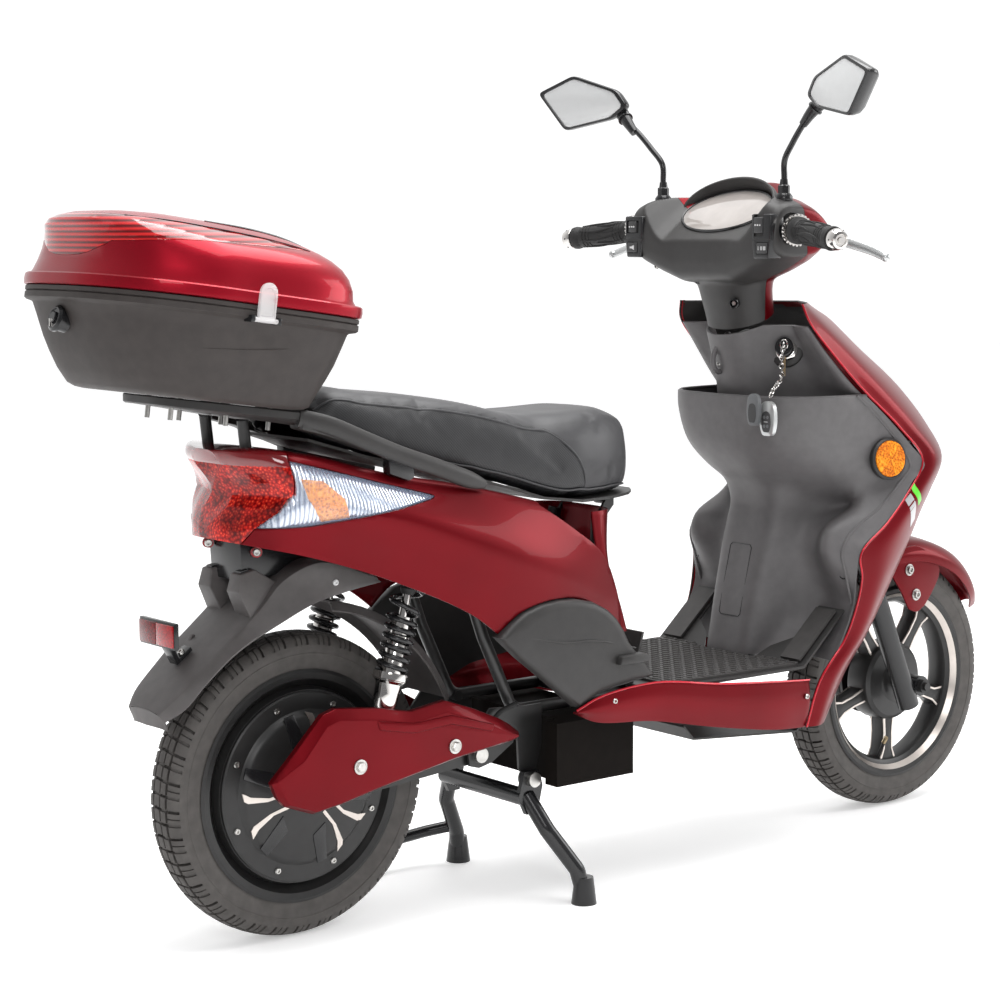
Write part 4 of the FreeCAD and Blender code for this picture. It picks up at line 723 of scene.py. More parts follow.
# ---------------------------------------------------------------- tail
TAIL = [(-134, 692, 580, 630, 20, 26, 20), (-120, 694, 574, 632, 62, 72, 62),
        (-88, 696, 565, 630, 100, 128, 106),
        (-25, 684, 546, 622, 118, 150, 126), (84, 655, 504, 600, 122, 164, 138),
        (204, 632, 450, 560, 124, 170, 150),
        (290, 612, 420, 530, 126, 168, 152), (380, 590, 400, 500, 122, 156, 146),
        (470, 575, 395, 480, 112, 134, 130),
        (530, 560, 390, 470, 96, 112, 112)]
# how far the rear end stands forward at each height: a beak at the top, a waist below it
WAIST = [(540, 8), (590, 9), (612, 19), (634, 33), (650, 24), (666, 12), (680, 4), (692, 0), (720, -1)]
LENS_SEAM = [(-320, 760), (-50, 760), (-70, 704), (-75, 681), (-71, 655), (-70, 636), (-85, 612), (-105, 588),
             (-117, 560), (-121, 400), (-320, 400)]
SIDE_LENS_EDGE = [(-50, 594), (30, 604), (138, 617), (149, 620), (138, 624), (66, 643), (-72.5, 680),
                  (-68.5, 655),
                  (-67.5, 636), (-82, 613), (-102, 590)]
LOW_EDGE = [(-200, 583), (-109, 566), (-31, 546), (84, 506), (204, 451), (257, 413), (300, 380)]
ARCH_EDGE = [(246, 416), (290, 447), (353, 459), (420, 450), (466, 422), (491, 382)]
FRONT_EDGE = [(330, 720), (345, 592), (400, 556), (468, 506), (500, 440), (510, 300)]


def read(table, at):
    """A value between the entries of a table of (place, value)."""
    for (a, low), (b, high) in zip(table, table[1:]):
        if at <= b:
            break
    return low + (high - low) * min(max((at - a) / (b - a), 0), 1)


def tail_solid(name, inset):
    rows = []
    for x, top, bottom, wide_z, top_y, wide_y, bottom_y in TAIL:
        right = [(bottom - 40, bottom_y), (bottom + 15, bottom_y + 6),
                 ((bottom + wide_z) / 2 + 6, (bottom_y + wide_y) / 2 + 5),
                 (wide_z, wide_y), (top - 16, top_y + 14), (top - 3, top_y + 4), (top, top_y - 6)]
        right = [(z - inset * (i > 4), y - inset) for i, (z, y) in enumerate(right)]
        x += (inset > 0) * (9 if x < -125 else 5 if x < -100 else 12 if x > 500 else 0)
        right[0] = (right[0][0] - 10 * (inset > 0), right[0][1])
        rows.append([V(x, -y, z) for z, y in right] + [V(x, y, z) for z, y in reversed(right)])
    grid = patch(rows, 5, 5, hard_columns=(0, 6, 7, 13), closed=True)
    for row in grid:
        for p in row:
            share = min(max((-30 - p.x) / 80, 0), 1) ** 1.3
            p.x += share * read(WAIST, p.z)
    return face_outwards(surface(name, grid, RED, closed=True, caps=True))


def side_cut(piece, corners, operation="DIFFERENCE", low=-320, high=320):
    return boolean(piece, prism(corners, low, high), operation)


def region(source, name, corners, low, high, material):
    """The part of a shell that lies behind a side-view outline."""
    part = copy_of(source, name)
    side_cut(part, corners, "INTERSECT", low, high)
    part.data.materials.clear()
    part.data.materials.append(material)
    return part


def grown(corners, by):
    """An outline moved out by a gap's width."""
    n, out = len(corners), []
    area = sum(a[0] * b[1] - b[0] * a[1] for a, b in zip(corners, corners[1:] + corners[:1]))
    turn = 1 if area > 0 else -1
    for i, here in enumerate(corners):
        before, after = Vector(corners[i - 1]), Vector(corners[(i + 1) % n])
        here = Vector(here)
        a, b = (here - before).normalized(), (after - here).normalized()
        normal = Vector((a.y + b.y, -a.x - b.x)) * turn
        out.append(tuple(here + normal.normalized() * by))
    return out


def flat_spline(corners, steps=6, hard=()):
    return [(p.x, p.y) for p in spline([Vector((a, b, 0)) for a, b in corners], steps, hard)]


def tail():
    shell = tail_solid("tail_shell", 0)
    boolean(shell, tail_solid("inside", 3), "DIFFERENCE")
    low = flat_spline(LOW_EDGE) + [(620, 380), (620, 100), (-200, 100)]
    arch = flat_spline(ARCH_EDGE) + [(542, 326), (542, 200), (200, 200), (200, 380)]
    front = flat_spline(FRONT_EDGE, 6, (1,)) + [(760, 300), (760, 720)]
    for cutter in (low, arch):
        side_cut(shell, cutter)
    boolean(shell, prism([(60, -108), (700, -108), (700, 108), (60, 108)], 540, 800, "Z"), "DIFFERENCE")
    lens_edge = flat_spline(SIDE_LENS_EDGE, 3, (0, 2, 4, 6, 7, 8, 9, 10))
    lamp_piece = region(shell, "tail_lamp", LENS_SEAM, -300, 300, TAIL_RED)
    right_lens = region(shell, "right_clear_lens", lens_edge, -300, -60, CLEAR)
    side_cut(shell, grown(LENS_SEAM, 1.1))
    for low_y, high_y in ((-300, -60), (60, 300)):
        side_cut(shell, grown(lens_edge, 1.2), "DIFFERENCE", low_y, high_y)
    side_cut(shell, front)
    cap = region(lamp_piece, "tail_lamp_cap", [(-300, 800), (-300, 673), (100, 673), (100, 800)], -300, 300,
                 DEEP_RED)
    side_cut(lamp_piece, [(-300, 800), (-300, 674.2), (100, 674.2), (100, 800)])
    panels = []
    for name, low_y, high_y in (("right_tail_shell", -300, -0.1), ("left_tail_shell", 0.1, 300)):
        panel = copy_of(shell, name)
        side_cut(panel, [(-400, 0), (800, 0), (800, 900), (-400, 900)], "INTERSECT", low_y, high_y)
        panels.append(panel)
    bpy.data.objects.remove(shell)
    for panel, node in zip(panels, ("right_tail_panel", "left_tail_panel")):
        ride(settle(round_edges(panel, 0.9, 2, 40), 32), "chassis", node, slot="red_panel")
    for piece in (lamp_piece, cap):
        ride(settle(round_edges(piece, 0.7, 2, 40), 32), "chassis", slot="red_lens")
    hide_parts("tail_light")
    bowl = copy_of(right_lens, "right_lamp_bowl")
    bowl.data.materials.clear()
    bowl.data.materials.append(REFLECTOR_BOWL)
    bowl.data.transform(Matrix.Translation((0, 9 * MM, 0)))
    facets = region(bowl, "right_amber_facets",
                    [(-34, 598), (4, 602), (-2, 628), (-28, 652), (-58, 656), (-52, 630)], -300, -60, BULB)
    facets.data.transform(Matrix.Translation((0, -1.5 * MM, 0)))
    for piece in (right_lens, bowl, facets):
        settle(round_edges(piece, 0.5, 1, 40), 40)
        twin = mirror(piece, piece.name.replace("right", "left"))
        ride(piece, "chassis", slot="clear_lens")
        ride(twin, "chassis", slot="clear_lens")
    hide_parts("rear_lenses")
    for side, panel in ((RIGHT, panels[0]), (LEFT, panels[1])):
        hand = "right" if side < 0 else "left"
        marks = [("green", [(310, 641), (318, 640), (330, 612), (322, 614)], GREEN),
                 ("silver", [(322, 640), (338, 638), (352, 600), (338, 606)], DECAL_GREY),
                 ("line", [(372, 600), (376, 602), (440, 556), (436, 554)], DECAL_GREY)]
        for label, corners, material in marks:
            mark = drape(f"{hand}_tail_{label}", corners, side, panel, material)
            if mark:
                ride(mark, "chassis")


DEEP_RED = finish_of("lamp_cap", (0.17, 0.003, 0.006), 0.12, coat=1.0, mottle=0.05).material
tail()


def under_seat_cover():
    rows = []
    for z, x, half, depth in ((568, 541, 84, 58), (530, 533, 92, 50), (500, 530, 96, 43), (460, 534, 100, 36),
                              (430, 544, 103, 33), (385, 555, 106, 30)):
        plan = [(x - depth, -half), (x - depth * 0.55, -half * 0.97), (x - 12, -half * 0.82),
                (x - 1, -half * 0.4)]
        rows.append([V(a, b, z) for a, b in plan] + [V(x, 0, z)] + [V(a, -b, z) for a, b in reversed(plan)])
    piece = surface("under_seat_shell", patch(rows, 6, 5), RED, flip=True)
    ride(settle(round_edges(thicken(piece, 3), 0.8), 35), "chassis", "under_seat_cover", slot="red_panel")


def side_cover():
    """Black lower cover: a dished panel with a rolled upper arch, a screw pocket and a foot-peg tab."""
    edge = [(246, 414), (268, 431), (290, 445), (320, 454), (353, 457), (390, 455), (420, 448), (446, 435),
            (464, 420),
            (478, 401), (489, 381), (540, 326), (505, 322), (470, 318), (430, 312), (391, 296), (330, 345),
            (285, 380)]
    middle = V(400, 385)
    loops = []
    for y, share in ((-146, 1.0), (-160, 1.0), (-165.5, 0.975), (-168, 0.93), (-169.5, 0.8)):
        loops.append([V(middle.x + (x - middle.x) * share, y, middle.y + (z - middle.y) * share) for x,
                      z in edge])
    piece = face_outwards(surface("right_side_cover", loops, PLASTIC, closed=True, caps=True))
    settle(piece, 40)
    fold = pipe("fold", [V(300, -168, 408), V(360, -169.6, 396), V(420, -169.8, 392), V(500, -165, 372)], 1.6,
                PLASTIC)
    tab = settle(round_edges(prism([(458, 352), (516, 352), (512, 365), (462, 365)], -180, -160, "Y",
                                   PLASTIC), 3), 35)
    pocket = lathe("pocket", [(9, 0), (9, 1.4), (7.2, 1.6), (6.6, -1), (0.01, -1)], V(286, -165.8, 420),
                   V(0, -1, 0),
                   PLASTIC, 24)
    bolt = screw(V(286, -166.2, 420), V(0, -1, 0), 4.5, GLOSS_BLACK)
    whole = settle(join("right_lower_cover", [piece, fold, tab, pocket, bolt]), 40)
    other = mirror(whole, "left_lower_cover")
    ride(whole, "chassis", "side_covers", slot="black_plastic")
    ride(other, "chassis", slot="black_plastic")


def rear_fender():
    """Long mudguard: a flat ridge, one sweeping flank each side, two slotted lugs and the inner guard."""
    ridge = [(-230, 347, 36), (-214, 364, 47), (-190, 385, 53), (-151, 418, 56), (-83, 474, 57), (-45, 512, 60),
             (0, 534, 78), (88, 506, 87)]
    edge = [(-224, 336, 42), (-203, 353, 60), (-172, 388, 70), (-128, 424, 75), (-60, 458, 79), (-10, 480, 84),
            (40, 492, 88), (94, 500, 89.5)]
    rows = []
    for (x, z, y), (ex, ez, ey) in zip(ridge, edge):
        rise = min(1.0, (x + 250) / 40) * (3 if x < -40 else 0)
        right = [V(ex, -ey, ez), V(x, -y - 1.5, z - 1.5), V(x, -y + 4, z), V(x - rise * 0.6, 0, z + rise)]
        rows.append(right + [V(p.x, -p.y, p.z) for p in reversed(right[:-1])])
    guard = thicken(surface("guard", patch(rows, 5, 6, hard_columns=(1, 5)), GUARD_BLACK), 3)
    parts = [settle(round_edges(guard, 1), 30)]
    tip = [(V(a.x, a.y, a.z), V(a.x + 5, a.y * 0.98, 324 + 3 * (abs(a.y) < 40))) for a in
           [V(-226, -44, 337), V(-231, -36, 346), V(-233, 0, 350), V(-231, 36, 346), V(-226, 44, 337)]]
    lip = patch([[a for a, b in tip], [b for a, b in tip]], 2, 5)
    parts.append(settle(thicken(surface("lip", lip, GUARD_BLACK), 2.5), 40))
    for side in (RIGHT, LEFT):
        parts.append(screw(V(21, side * 87, 506), V(0, side, 0), 4.4, PALE))
        low, high = sorted((side * 20, side * 54))
        lug = prism([(-113, 500), (-108, 524), (-84, 529), (-46, 506), (-70, 484), (-96, 464)], low, high,
                    "Y", GUARD_BLACK)
        for v in lug.data.vertices:
            top = min(max((v.co.z / MM - 480) / 45, 0), 1)
            v.co.y = (side * 37 + (v.co.y / MM - side * 37) * (1.15 - 0.45 * top)) * MM
        parts.append(settle(round_edges(lug, 2, 3), 30))
        low, high = sorted((side * 30, side * 44))
        parts.append(prism([(-104, 525.2), (-92, 527.6), (-92, 529.6), (-104, 527.2)], low, high, "Y",
                           GLOSS_BLACK))
    pip = prism([(-152, 417), (-142, 438), (-132, 434)], 20, 28, "Y", GUARD_BLACK)
    parts.append(settle(round_edges(pip, 1), 30))
    hanger = prism([(-98, 512), (-102, 572), (20, 540), (20, 524)], -40, 40, "Y", GLOSS_BLACK)
    parts.append(settle(round_edges(hanger, 1.5), 30))
    for x, y, z in ((-108, 34, 560), (-78, -41, 552)):
        for reach in (0, 6):
            parts.append(lathe("washer", [(0.01, 0), (7, 0), (7, 3.4), (0.01, 3.4)], V(x, y - reach * 0.6, z),
                               V(-0.5, -1, 0), REFLECT_RED, 20))
        parts.append(screw(V(x - 2, y - 6, z), V(-0.5, -1, 0), 5.5, ZINC, 4))
    hugger = []
    for turn in range(22, 84, 4):
        hugger.append([polar(REAR_AXLE, turn, 262 - 12 * (abs(y) > 50), y) for y in (-60, -50, 0, 50, 60)])
    parts.append(settle(thicken(surface("hugger", hugger, GUARD_BLACK), 3), 30))
    ride(settle(join("mudguard", parts), 32), "chassis", "rear_fender", slot="black_plastic")


def reflectors():
    frame_piece = settle(round_edges(prism([(-46, 431), (46, 431), (46, 467), (-46, 467)], -209, -202, "X",
                                           GLOSS_BLACK),
                                     1.5), 35)
    parts = [frame_piece]
    for low, high, material in ((-43.5, -0.8, REFLECT_RED), (0.8, 43.5, DEEP_REFLEX)):
        pane = prism([(low, 434), (high, 434), (high, 464), (low, 464)], -211.5, -208, "X", material)
        parts.append(settle(round_edges(pane, 0.8), 35))
    arm = prism([(-204, 456), (-204, 440), (-184, 404), (-160, 422), (-163, 427), (-181, 413), (-197, 446),
                 (-197, 456)],
                -10, 10, "Y", GLOSS_BLACK)
    parts.append(settle(round_edges(arm, 1), 35))
    parts.append(screw(V(-174, -4, 419), V(-0.62, 0, 0.78), 5, ZINC, 4))
    ride(settle(join("red_reflector", parts), 35), "chassis", "reflectors", slot="red_lens")
    face = V(-0.16, -0.98, 0.08).normalized()
    spot = V(1029, -169, 619) + face * 6
    side, up = frame_along(face)
    parts = [settle(lathe("bezel", [(33.5, -4), (33.5, 4), (31, 6.5), (29.5, 6.5), (29.5, -4)], spot, face,
                          PLASTIC, 64), 30)]
    for k in range(6):
        turns = [math.tau * (k / 6 + j / 48) + 0.26 for j in range(9)]
        edge = [spot + face * 5.6 + (side * math.cos(t) + up * math.sin(t)) * 29.2 for t in turns]
        level = 8.4 if k % 2 else 7.9
        top = [spot + face * level + (side * math.cos(t) + up * math.sin(t)) * 28.2 for t in turns]
        loops = [[spot + face * 5.6] + edge, [spot + face * level] + top]
        parts.append(face_outwards(surface("sector", loops, AMBER if k % 2 else AMBER_DEEP, closed=True,
                                           caps=True)))
    disc = settle(join("right_amber_reflector", parts), 35)
    other = mirror(disc, "left_amber_reflector")
    ride(disc, "chassis", slot="amber")
    ride(other, "chassis", slot="amber")


DEEP_REFLEX = lamp("red_reflex_deep", (0.12, 0.002, 0.004), (0.24, 0.006, 0.008), 330, deep=0.0003)
AMBER_DEEP = lamp("amber_sector", (0.62, 0.14, 0.004), (0.95, 0.34, 0.02), 300, deep=0.0004)
under_seat_cover()
side_cover()
rear_fender()
reflectors()


# ---------------------------------------------------------------- top box, drawn in its own tilted frame
BOX_FOOT, BOX_TILT = V(-175, 0, 763), math.radians(8)


def from_box(p):
    c, s = math.cos(BOX_TILT), math.sin(BOX_TILT)
    return V(BOX_FOOT.x + p[0] * c + p[2] * s, p[1], BOX_FOOT.z - p[0] * s + p[2] * c)


def box_loop(z, front, rear, half, inset=0.0, steps=5):
    """Plan outline at one height: rounded front corners and a tapering rear."""
    f, r, h = front - inset, rear + inset, half - inset
    c = half * 0.32
    right = [(f, 0), (f, -h + c * 1.5), (f - c * 0.28, -h + c * 0.36), (f - c * 1.2, -h),
             ((f + r) / 2, -h * 1.0),
             (r + c * 1.9, -h * 0.98), (r + c * 0.8, -h * 0.80), (r + c * 0.15, -h * 0.45), (r, 0)]
    corners = right + [(x, -y) for x, y in reversed(right[1:-1])]
    return [from_box((p.x, p.y, z)) for p in spline([V(x, y, 0) for x, y in corners], steps, closed=True)]


def box_base():
    outer = [(0, 132, -118, 138, 8), (1.5, 137, -124, 143, 3), (6, 140, -131, 147, 0), (24, 146, -146, 155, 0),
             (45, 153, -158, 166, 0), (64, 158, -167, 176, 0), (90, 165, -178, 182, 0),
             (106, 169, -185, 186, 0),
             (108, 171, -187, 188, 0), (110, 178, -194, 195, 0), (112, 180, -196, 197, 0),
             (119, 180, -196, 197, 0),
             (120.5, 178, -194, 195, 0), (122, 180, -196, 197, 0), (126.5, 180, -196, 197, 0),
             (127.4, 179, -195, 196, 0)]
    inner = [(127.4, 172, -190, 190, 4), (116, 168, -186, 187, 4), (64, 158, -167, 176, 3.2),
             (12, 141, -135, 148, 3.2),
             (4, 134, -120, 140, 6)]
    loops = [box_loop(*row) for row in outer + inner]
    shell = face_outwards(surface("box_tub", loops, BOX_BLACK, closed=True, caps=True))
    parts = [settle(shell, 40)]
    # a faint crease along each side, and the latch brackets under the rim
    tree = BVHTree.FromObject(parts[0], bpy.context.evaluated_depsgraph_get())
    for side in (RIGHT, LEFT):
        line = []
        for x, z in ((-118, 62), (-60, 66), (0, 71), (50, 77), (100, 84)):
            origin = world(from_box((x, side * 400, z)))
            hit = tree.ray_cast(origin, Vector((0, -side, 0)))[0]
            line.append(V(hit.x / MM + REAR_AXLE_X, hit.y / MM - side * 0.2, hit.z / MM))
        parts.append(pipe("crease", line, 0.9, BOX_BLACK, sides=8,
                          taper=lambda t: 0.15 + 0.85 * math.sin(math.pi * t)))
        for x in (-20, 20):
            ear = [from_box(p) for p in ((x - 3, side * 186, 105), (x + 3, side * 186, 105),
                                         (x + 3, side * 204, 105),
                                         (x - 3, side * 204, 105), (x - 3, side * 186, 114),
                                         (x + 3, side * 186, 114),
                                         (x + 3, side * 204, 114), (x - 3, side * 204, 114))]
            piece = make("ear", ear, [(0, 1, 2, 3), (4, 5, 6, 7), (0, 1, 5, 4), (1, 2, 6, 5), (2, 3, 7, 6),
                                      (3, 0, 4, 7)],
                         GLOSS_BLACK)
            parts.append(settle(round_edges(face_outwards(piece), 1), 35))
    for y in (-90, 90):
        parts.append(pipe("hinge", [from_box((187, y - 20, 128)), from_box((187, y - 0.6, 128))], 4.4,
                          GLOSS_BLACK,
                          smooth=False))
    ride(settle(join("box_lower_shell", parts), 38), "chassis", "box_base", slot="black_plastic")


LID = [(144.4, 176, -192, 190), (151, 172, -189, 187.5), (163, 170.5, -184, 187), (178, 164, -180, 184),
       (190, 155, -180, 177),
       (200, 143, -183, 165), (208, 130, -187, 150), (215, 116, -186, 132), (221, 99, -178, 114),
       (227, 77, -160, 93),
       (232, 50, -130, 67), (235.5, 12, -90, 35)]
LENS = [(-260, 146), (-198, 146), (-168, 188), (-110, 197), (-54, 201.5), (20, 206), (88, 208.5), (20, 217.5),
        (-60, 221.5), (-160, 222.5), (-260, 222.5)]


def lid_solid(name, inset):
    loops = [box_loop(z - inset * (z > 226), f, r, h, inset) for z, f, r, h in LID]
    if inset:
        loops.insert(0, box_loop(138, 176, -192, 190, inset))
    return face_outwards(surface(name, loops, LID_RED_PAINTED_LIGHT, closed=True, caps=True))


def box_lid():
    dome = boolean(lid_solid("dome", 0), lid_solid("hollow", 3), "DIFFERENCE")
    outline = [(from_box((x, 0, z)).x, from_box((x, 0, z)).z) for x,
               z in flat_spline(LENS, 4, (0, 1, 2, 6, 10))]
    lens = region(dome, "box_lid_lens", outline, -320, 320, BOX_RED)
    side_cut(dome, grown(outline, 0.5))
    tree = BVHTree.FromObject(lid_solid("measure", 0), bpy.context.evaluated_depsgraph_get())
    bpy.data.objects.remove(bpy.data.objects["measure"])
    parts = [settle(round_edges(dome, 0.6, 2, 40), 30)]
    band = [(128.4, 180, -196, 197), (129.6, 182, -198, 199), (136, 182.6, -198.6, 199.6),
            (142.6, 182, -198, 199),
            (144.4, 180, -196, 197), (144.9, 174, -190, 188)]
    inside = [(142, 174, -190, 190), (128.4, 176, -193, 194)]
    loops = [box_loop(*row) for row in band + inside]
    parts.append(settle(weld(surface("band", loops + [loops[0]], LID_RED_PAINTED_LIGHT, closed=True)), 28))
    for side in (RIGHT, LEFT):
        gap = []
        for x, z in ((-150, 222.4), (-100, 222.6), (-40, 221.6), (30, 217.6), (70, 212.8), (94, 208.6)):
            origin = world(from_box((x, side * 400, z)))
            hit = tree.ray_cast(origin, Vector((0, -side, 0)))[0]
            if hit:
                gap.append(V(hit.x / MM + REAR_AXLE_X, hit.y / MM, hit.z / MM))
        parts.append(pipe("gap", gap, 1.0, GLOSS_BLACK, sides=8))
        strip = []
        for x, y in ((-20, 62), (40, 78), (90, 92), (128, 104), (158, 116)):
            origin = world(from_box((x, side * y, 400)))
            down = world(from_box((x, side * y, 0))) - origin
            hit = tree.ray_cast(origin, down.normalized())[0]
            if hit:
                strip.append(V(hit.x / MM + REAR_AXLE_X, hit.y / MM, hit.z / MM + 0.4))
        parts.append(pipe("trim", strip, 4.2, GLOSS_BLACK, sides=10, flat=(1, 0.45), up=(0, 1, 0),
                          taper=lambda t: 0.25 + 0.75 * math.sin(math.pi * (0.12 + 0.8 * t))))
    for y in (-90, 90):
        parts.append(pipe("hinge", [from_box((187, y + 0.6, 128)), from_box((187, y + 20, 128))], 4.4,
                          GLOSS_BLACK,
                          smooth=False))
    ride(settle(join("box_lid_shell", parts), 30), "box_lid", "box_lid", slot="red_panel")
    ride(settle(round_edges(lens, 0.6, 2, 40), 34), "box_lid", "box_lens", slot="red_lens")


def latch(side, body, node):
    """Clear arch-shaped hasp with a thick rim, hooked over the lid's band and held in a bracket."""
    outline = [(-13, 108), (-13, 140), (-11.5, 149), (-6.5, 155), (0, 157), (6.5, 155), (11.5, 149),
               (13, 140), (13, 108)]
    shape = [(p.x, p.y) for p in spline([V(a, b, 0) for a, b in outline], 4, (0, 1, 7, 8))]

    def loop(share, y):
        return [from_box((x * share, side * y, 131 + (z - 131) * share)) for x, z in shape]

    plate = surface("plate", [loop(1, 200.2), loop(1, 204), loop(0.9, 205.2), loop(0.76, 205.2), loop(0.7, 203),
                              loop(0.45, 203)], CLEAR_LATCH, closed=True, caps=True)
    parts = [settle(face_outwards(plate), 50)]
    parts.append(pipe("pin", [from_box((-17, side * 201.5, 109)), from_box((17, side * 201.5, 109))], 3.4,
                      CLEAR_LATCH,
                      smooth=False))
    ride(settle(join(node + "_clear", parts), 50), body, node, slot="clear_lens")


def box_lock():
    foot, out = from_box((-172, 0, 82)), (from_box((-1, 0, 0.2)) - BOX_FOOT).normalized()
    rings = [(15, 0), (15, 12), (17.5, 12), (17.5, 16), (14, 19), (12.6, 19), (12, 17.6), (8, 17.6),
             (8, 20.5), (7, 21.6),
             (0.01, 21.6)]
    body = settle(lathe("lock_body", [(0.01, 0)] + rings, foot, out, GLOSS_BLACK, 40), 30)
    slot_way = prism([(foot.y - 1.2, foot.z - 5), (foot.y + 1.2, foot.z - 5), (foot.y + 1.2, foot.z + 5),
                      (foot.y - 1.2, foot.z + 5)], foot.x - 24, foot.x - 20.6, "X", CHROME)
    ride(settle(join("box_lock_knob", [body, slot_way]), 30), "box_lock", "box_lock", slot="black_plastic")


def rack():
    """Grab rail: a plate under the box that splits into two rails sweeping down beside the seat."""
    plate = [(-230, 0), (-229, -34), (-221, -58), (-194, -80), (-144, -104), (-90, -121), (-30, -131),
             (-20, -120),
             (-24, -96), (-30, -60), (-32, 0)]
    outline = [(p.x, p.y) for p in spline([V(a, b, 0) for a, b in plate], 4, (0, 6, 7, 10))]
    outline += [(x, -y) for x, y in reversed(outline[1:-1])]

    def height(x):
        return 763 - math.tan(BOX_TILT) * (x + 175) - 0.4 if x < -60 else 746.4 - (x + 60) * 0.36

    loops = [[V(x, y, height(x) - d) for x, y in [(-130 + (px + 130) * s, py * s) for px, py in outline]]
             for d, s in ((13, 0.975), (11, 1.0), (2, 1.0), (0, 0.985))]
    parts = [settle(face_outwards(surface("plate", loops, PLASTIC, closed=True, caps=True)), 35)]
    for side in (RIGHT, LEFT):
        path = [(-60, 122, 737), (-20, 130, 727), (40, 137, 702), (92, 138, 681), (150, 139.5, 661),
                (205, 138, 641),
                (243, 134.5, 629)]
        rail = pipe("rail", [V(x, side * y, z) for x, y, z in path], 12, PLASTIC, sides=20, steps=8,
                    flat=(0.62, 1.05),
                    up=(0, 1, 0), taper=lambda t: 1.0 if t < 0.82 else 1.0 - 0.5 * ((t - 0.82) / 0.18) ** 2)
        parts.append(settle(rail, 50))
        parts.append(settle(round_edges(prism([(-58, 738), (-30, 732), (60, 694), (60, 684), (-20, 712),
                                               (-58, 722)],
                                              *sorted((side * 98, side * 130)), "Y", PLASTIC), 2), 35))
        block = prism([(74, 682), (118, 666), (118, 648), (110, 643), (76, 655)],
                      *sorted((side * 122, side * 140)), "Y",
                      GLOSS_BLACK)
        parts.append(settle(round_edges(block, 3), 35))
    ride(settle(join("grab_rail", parts), 38), "chassis", "grab_rack", slot="black_plastic")


box_base()
box_lid()
latch(RIGHT, "right_box_latch", "right_box_latch")
latch(LEFT, "left_box_latch", "left_box_latch")
box_lock()
rack()


# ---------------------------------------------------------------- leg shield, apron and floor
# plan lines by height, right half, from the outer edge in to the keel
SHIELD = [
    (306, [(905, -183), (908, -165), (910, -140), (904, -100), (876, -60), (845, -42), (843, 0)]),
    (394, [(948, -184), (954, -172), (956, -150), (958, -108), (925, -76), (864, -45), (860, 0)]),
    (440, [(948, -187), (940, -172), (934, -150), (945, -108), (928, -78), (875, -46), (871, 0)]),
    (479, [(953, -190), (930, -172), (912, -150), (936, -108), (928, -80), (885, -47), (880, 0)]),
    (508, [(993, -190), (952, -172), (920, -150), (950, -110), (940, -82), (894, -48), (889, 0)]),
    (543, [(1040, -189), (1012, -176), (985, -152), (1002, -116), (966, -84), (903, -49), (897, 0)]),
    (578, [(1070, -187), (1052, -178), (1010, -154), (966, -124), (925, -84), (892, -49), (886, 0)]),
    (606, [(1100, -187), (1078, -179), (1008, -158), (925, -128), (880, -84), (860, -46), (857, 0)]),
    (643, [(1072, -180), (1056, -172), (975, -158), (893, -138), (850, -92), (835, -46), (831, 0)]),
    (694, [(1018, -172), (1006, -165), (936, -157), (872, -140), (835, -92), (827, -46), (824, 0)]),
    (722, [(984, -166), (972, -160), (925, -156), (870, -140), (833, -92), (826, -46), (823, 0)]),
]
UPPER_SHIELD = [
    (640, [(1080, -176), (1066, -168), (1040, -140), (1000, -100), (948, -72), (880, -40), (868, 0)]),
    (690, [(1025, -165), (1012, -158), (985, -130), (950, -97), (904, -68), (866, -38), (857, 0)]),
    (740, [(964, -156), (956, -148), (950, -124), (935, -94), (900, -66), (858, -38), (845, 0)]),
    (790, [(916, -147), (911, -140), (915, -118), (915, -92), (886, -66), (845, -38), (831, 0)]),
    (834, [(878, -142), (876, -136), (884, -112), (893, -92), (868, -68), (832, -38), (820, 0)]),
]
APRON = [
    (206, [(858, -168), (880, -172), (905, -160), (925, -140)]),
    (279, [(874, -180), (905, -183), (950, -160), (975, -138)]),
    (349, [(930, -185), (965, -186), (1010, -160), (1032, -134)]),
    (434, [(953, -193), (1000, -193), (1060, -165), (1096, -134)]),
    (474, [(948, -194), (1015, -194), (1085, -166), (1124, -130)]),
    (520, [(1010, -193), (1050, -194), (1120, -160), (1162, -118)]),
    (560, [(1056, -190), (1090, -192), (1170, -140), (1272, 0)]),
    (614, [(1096, -188), (1128, -189), (1205, -130), (1284, 0)]),
    (667, [(1050, -182), (1090, -180), (1178, -120), (1262, 0)]),
    (729, [(982, -166), (1030, -164), (1125, -105), (1213, 0)]),
    (790, [(922, -153), (970, -145), (1050, -90), (1135, 0)]),
    (840, [(876, -147), (915, -134), (985, -82), (1068, 0)]),
    (868, [(868, -138), (890, -124), (940, -78), (1000, 0)]),
]


def full(z, right, shift=0.0):
    row = [V(x + shift, y, z) for x, y in right]
    return row + [V(p.x, -p.y, p.z) for p in reversed(row[:-1])]


def wall_mesh(name, rows, along):
    return surface(name, patch(rows, 8, along), SHIELD_BLACK, flip=True)


def cut_rod(piece, foot, direction, radius, low, high):
    """Drills a hole with a cylinder."""
    cutter = lathe("drill", [(0.01, low), (radius, low), (radius, high), (0.01, high)], foot, direction, None,
                   48)
    return boolean(piece, cutter, "DIFFERENCE")


RAKE = math.radians(24)
UP_AXIS, AHEAD = V(-math.sin(RAKE), 0, math.cos(RAKE)), V(math.cos(RAKE), 0, math.sin(RAKE))
AXIS_FOOT = FRONT_AXLE - AHEAD * 63
NECK_HEIGHT = 716
LOCK, LOCK_OUT = V(896, -76, 793), V(-0.78, -0.52, 0.34).normalized()


def on_axis(height, ahead=0.0, y=0.0):
    return AXIS_FOOT + UP_AXIS * height + AHEAD * ahead + V(0, y, 0)


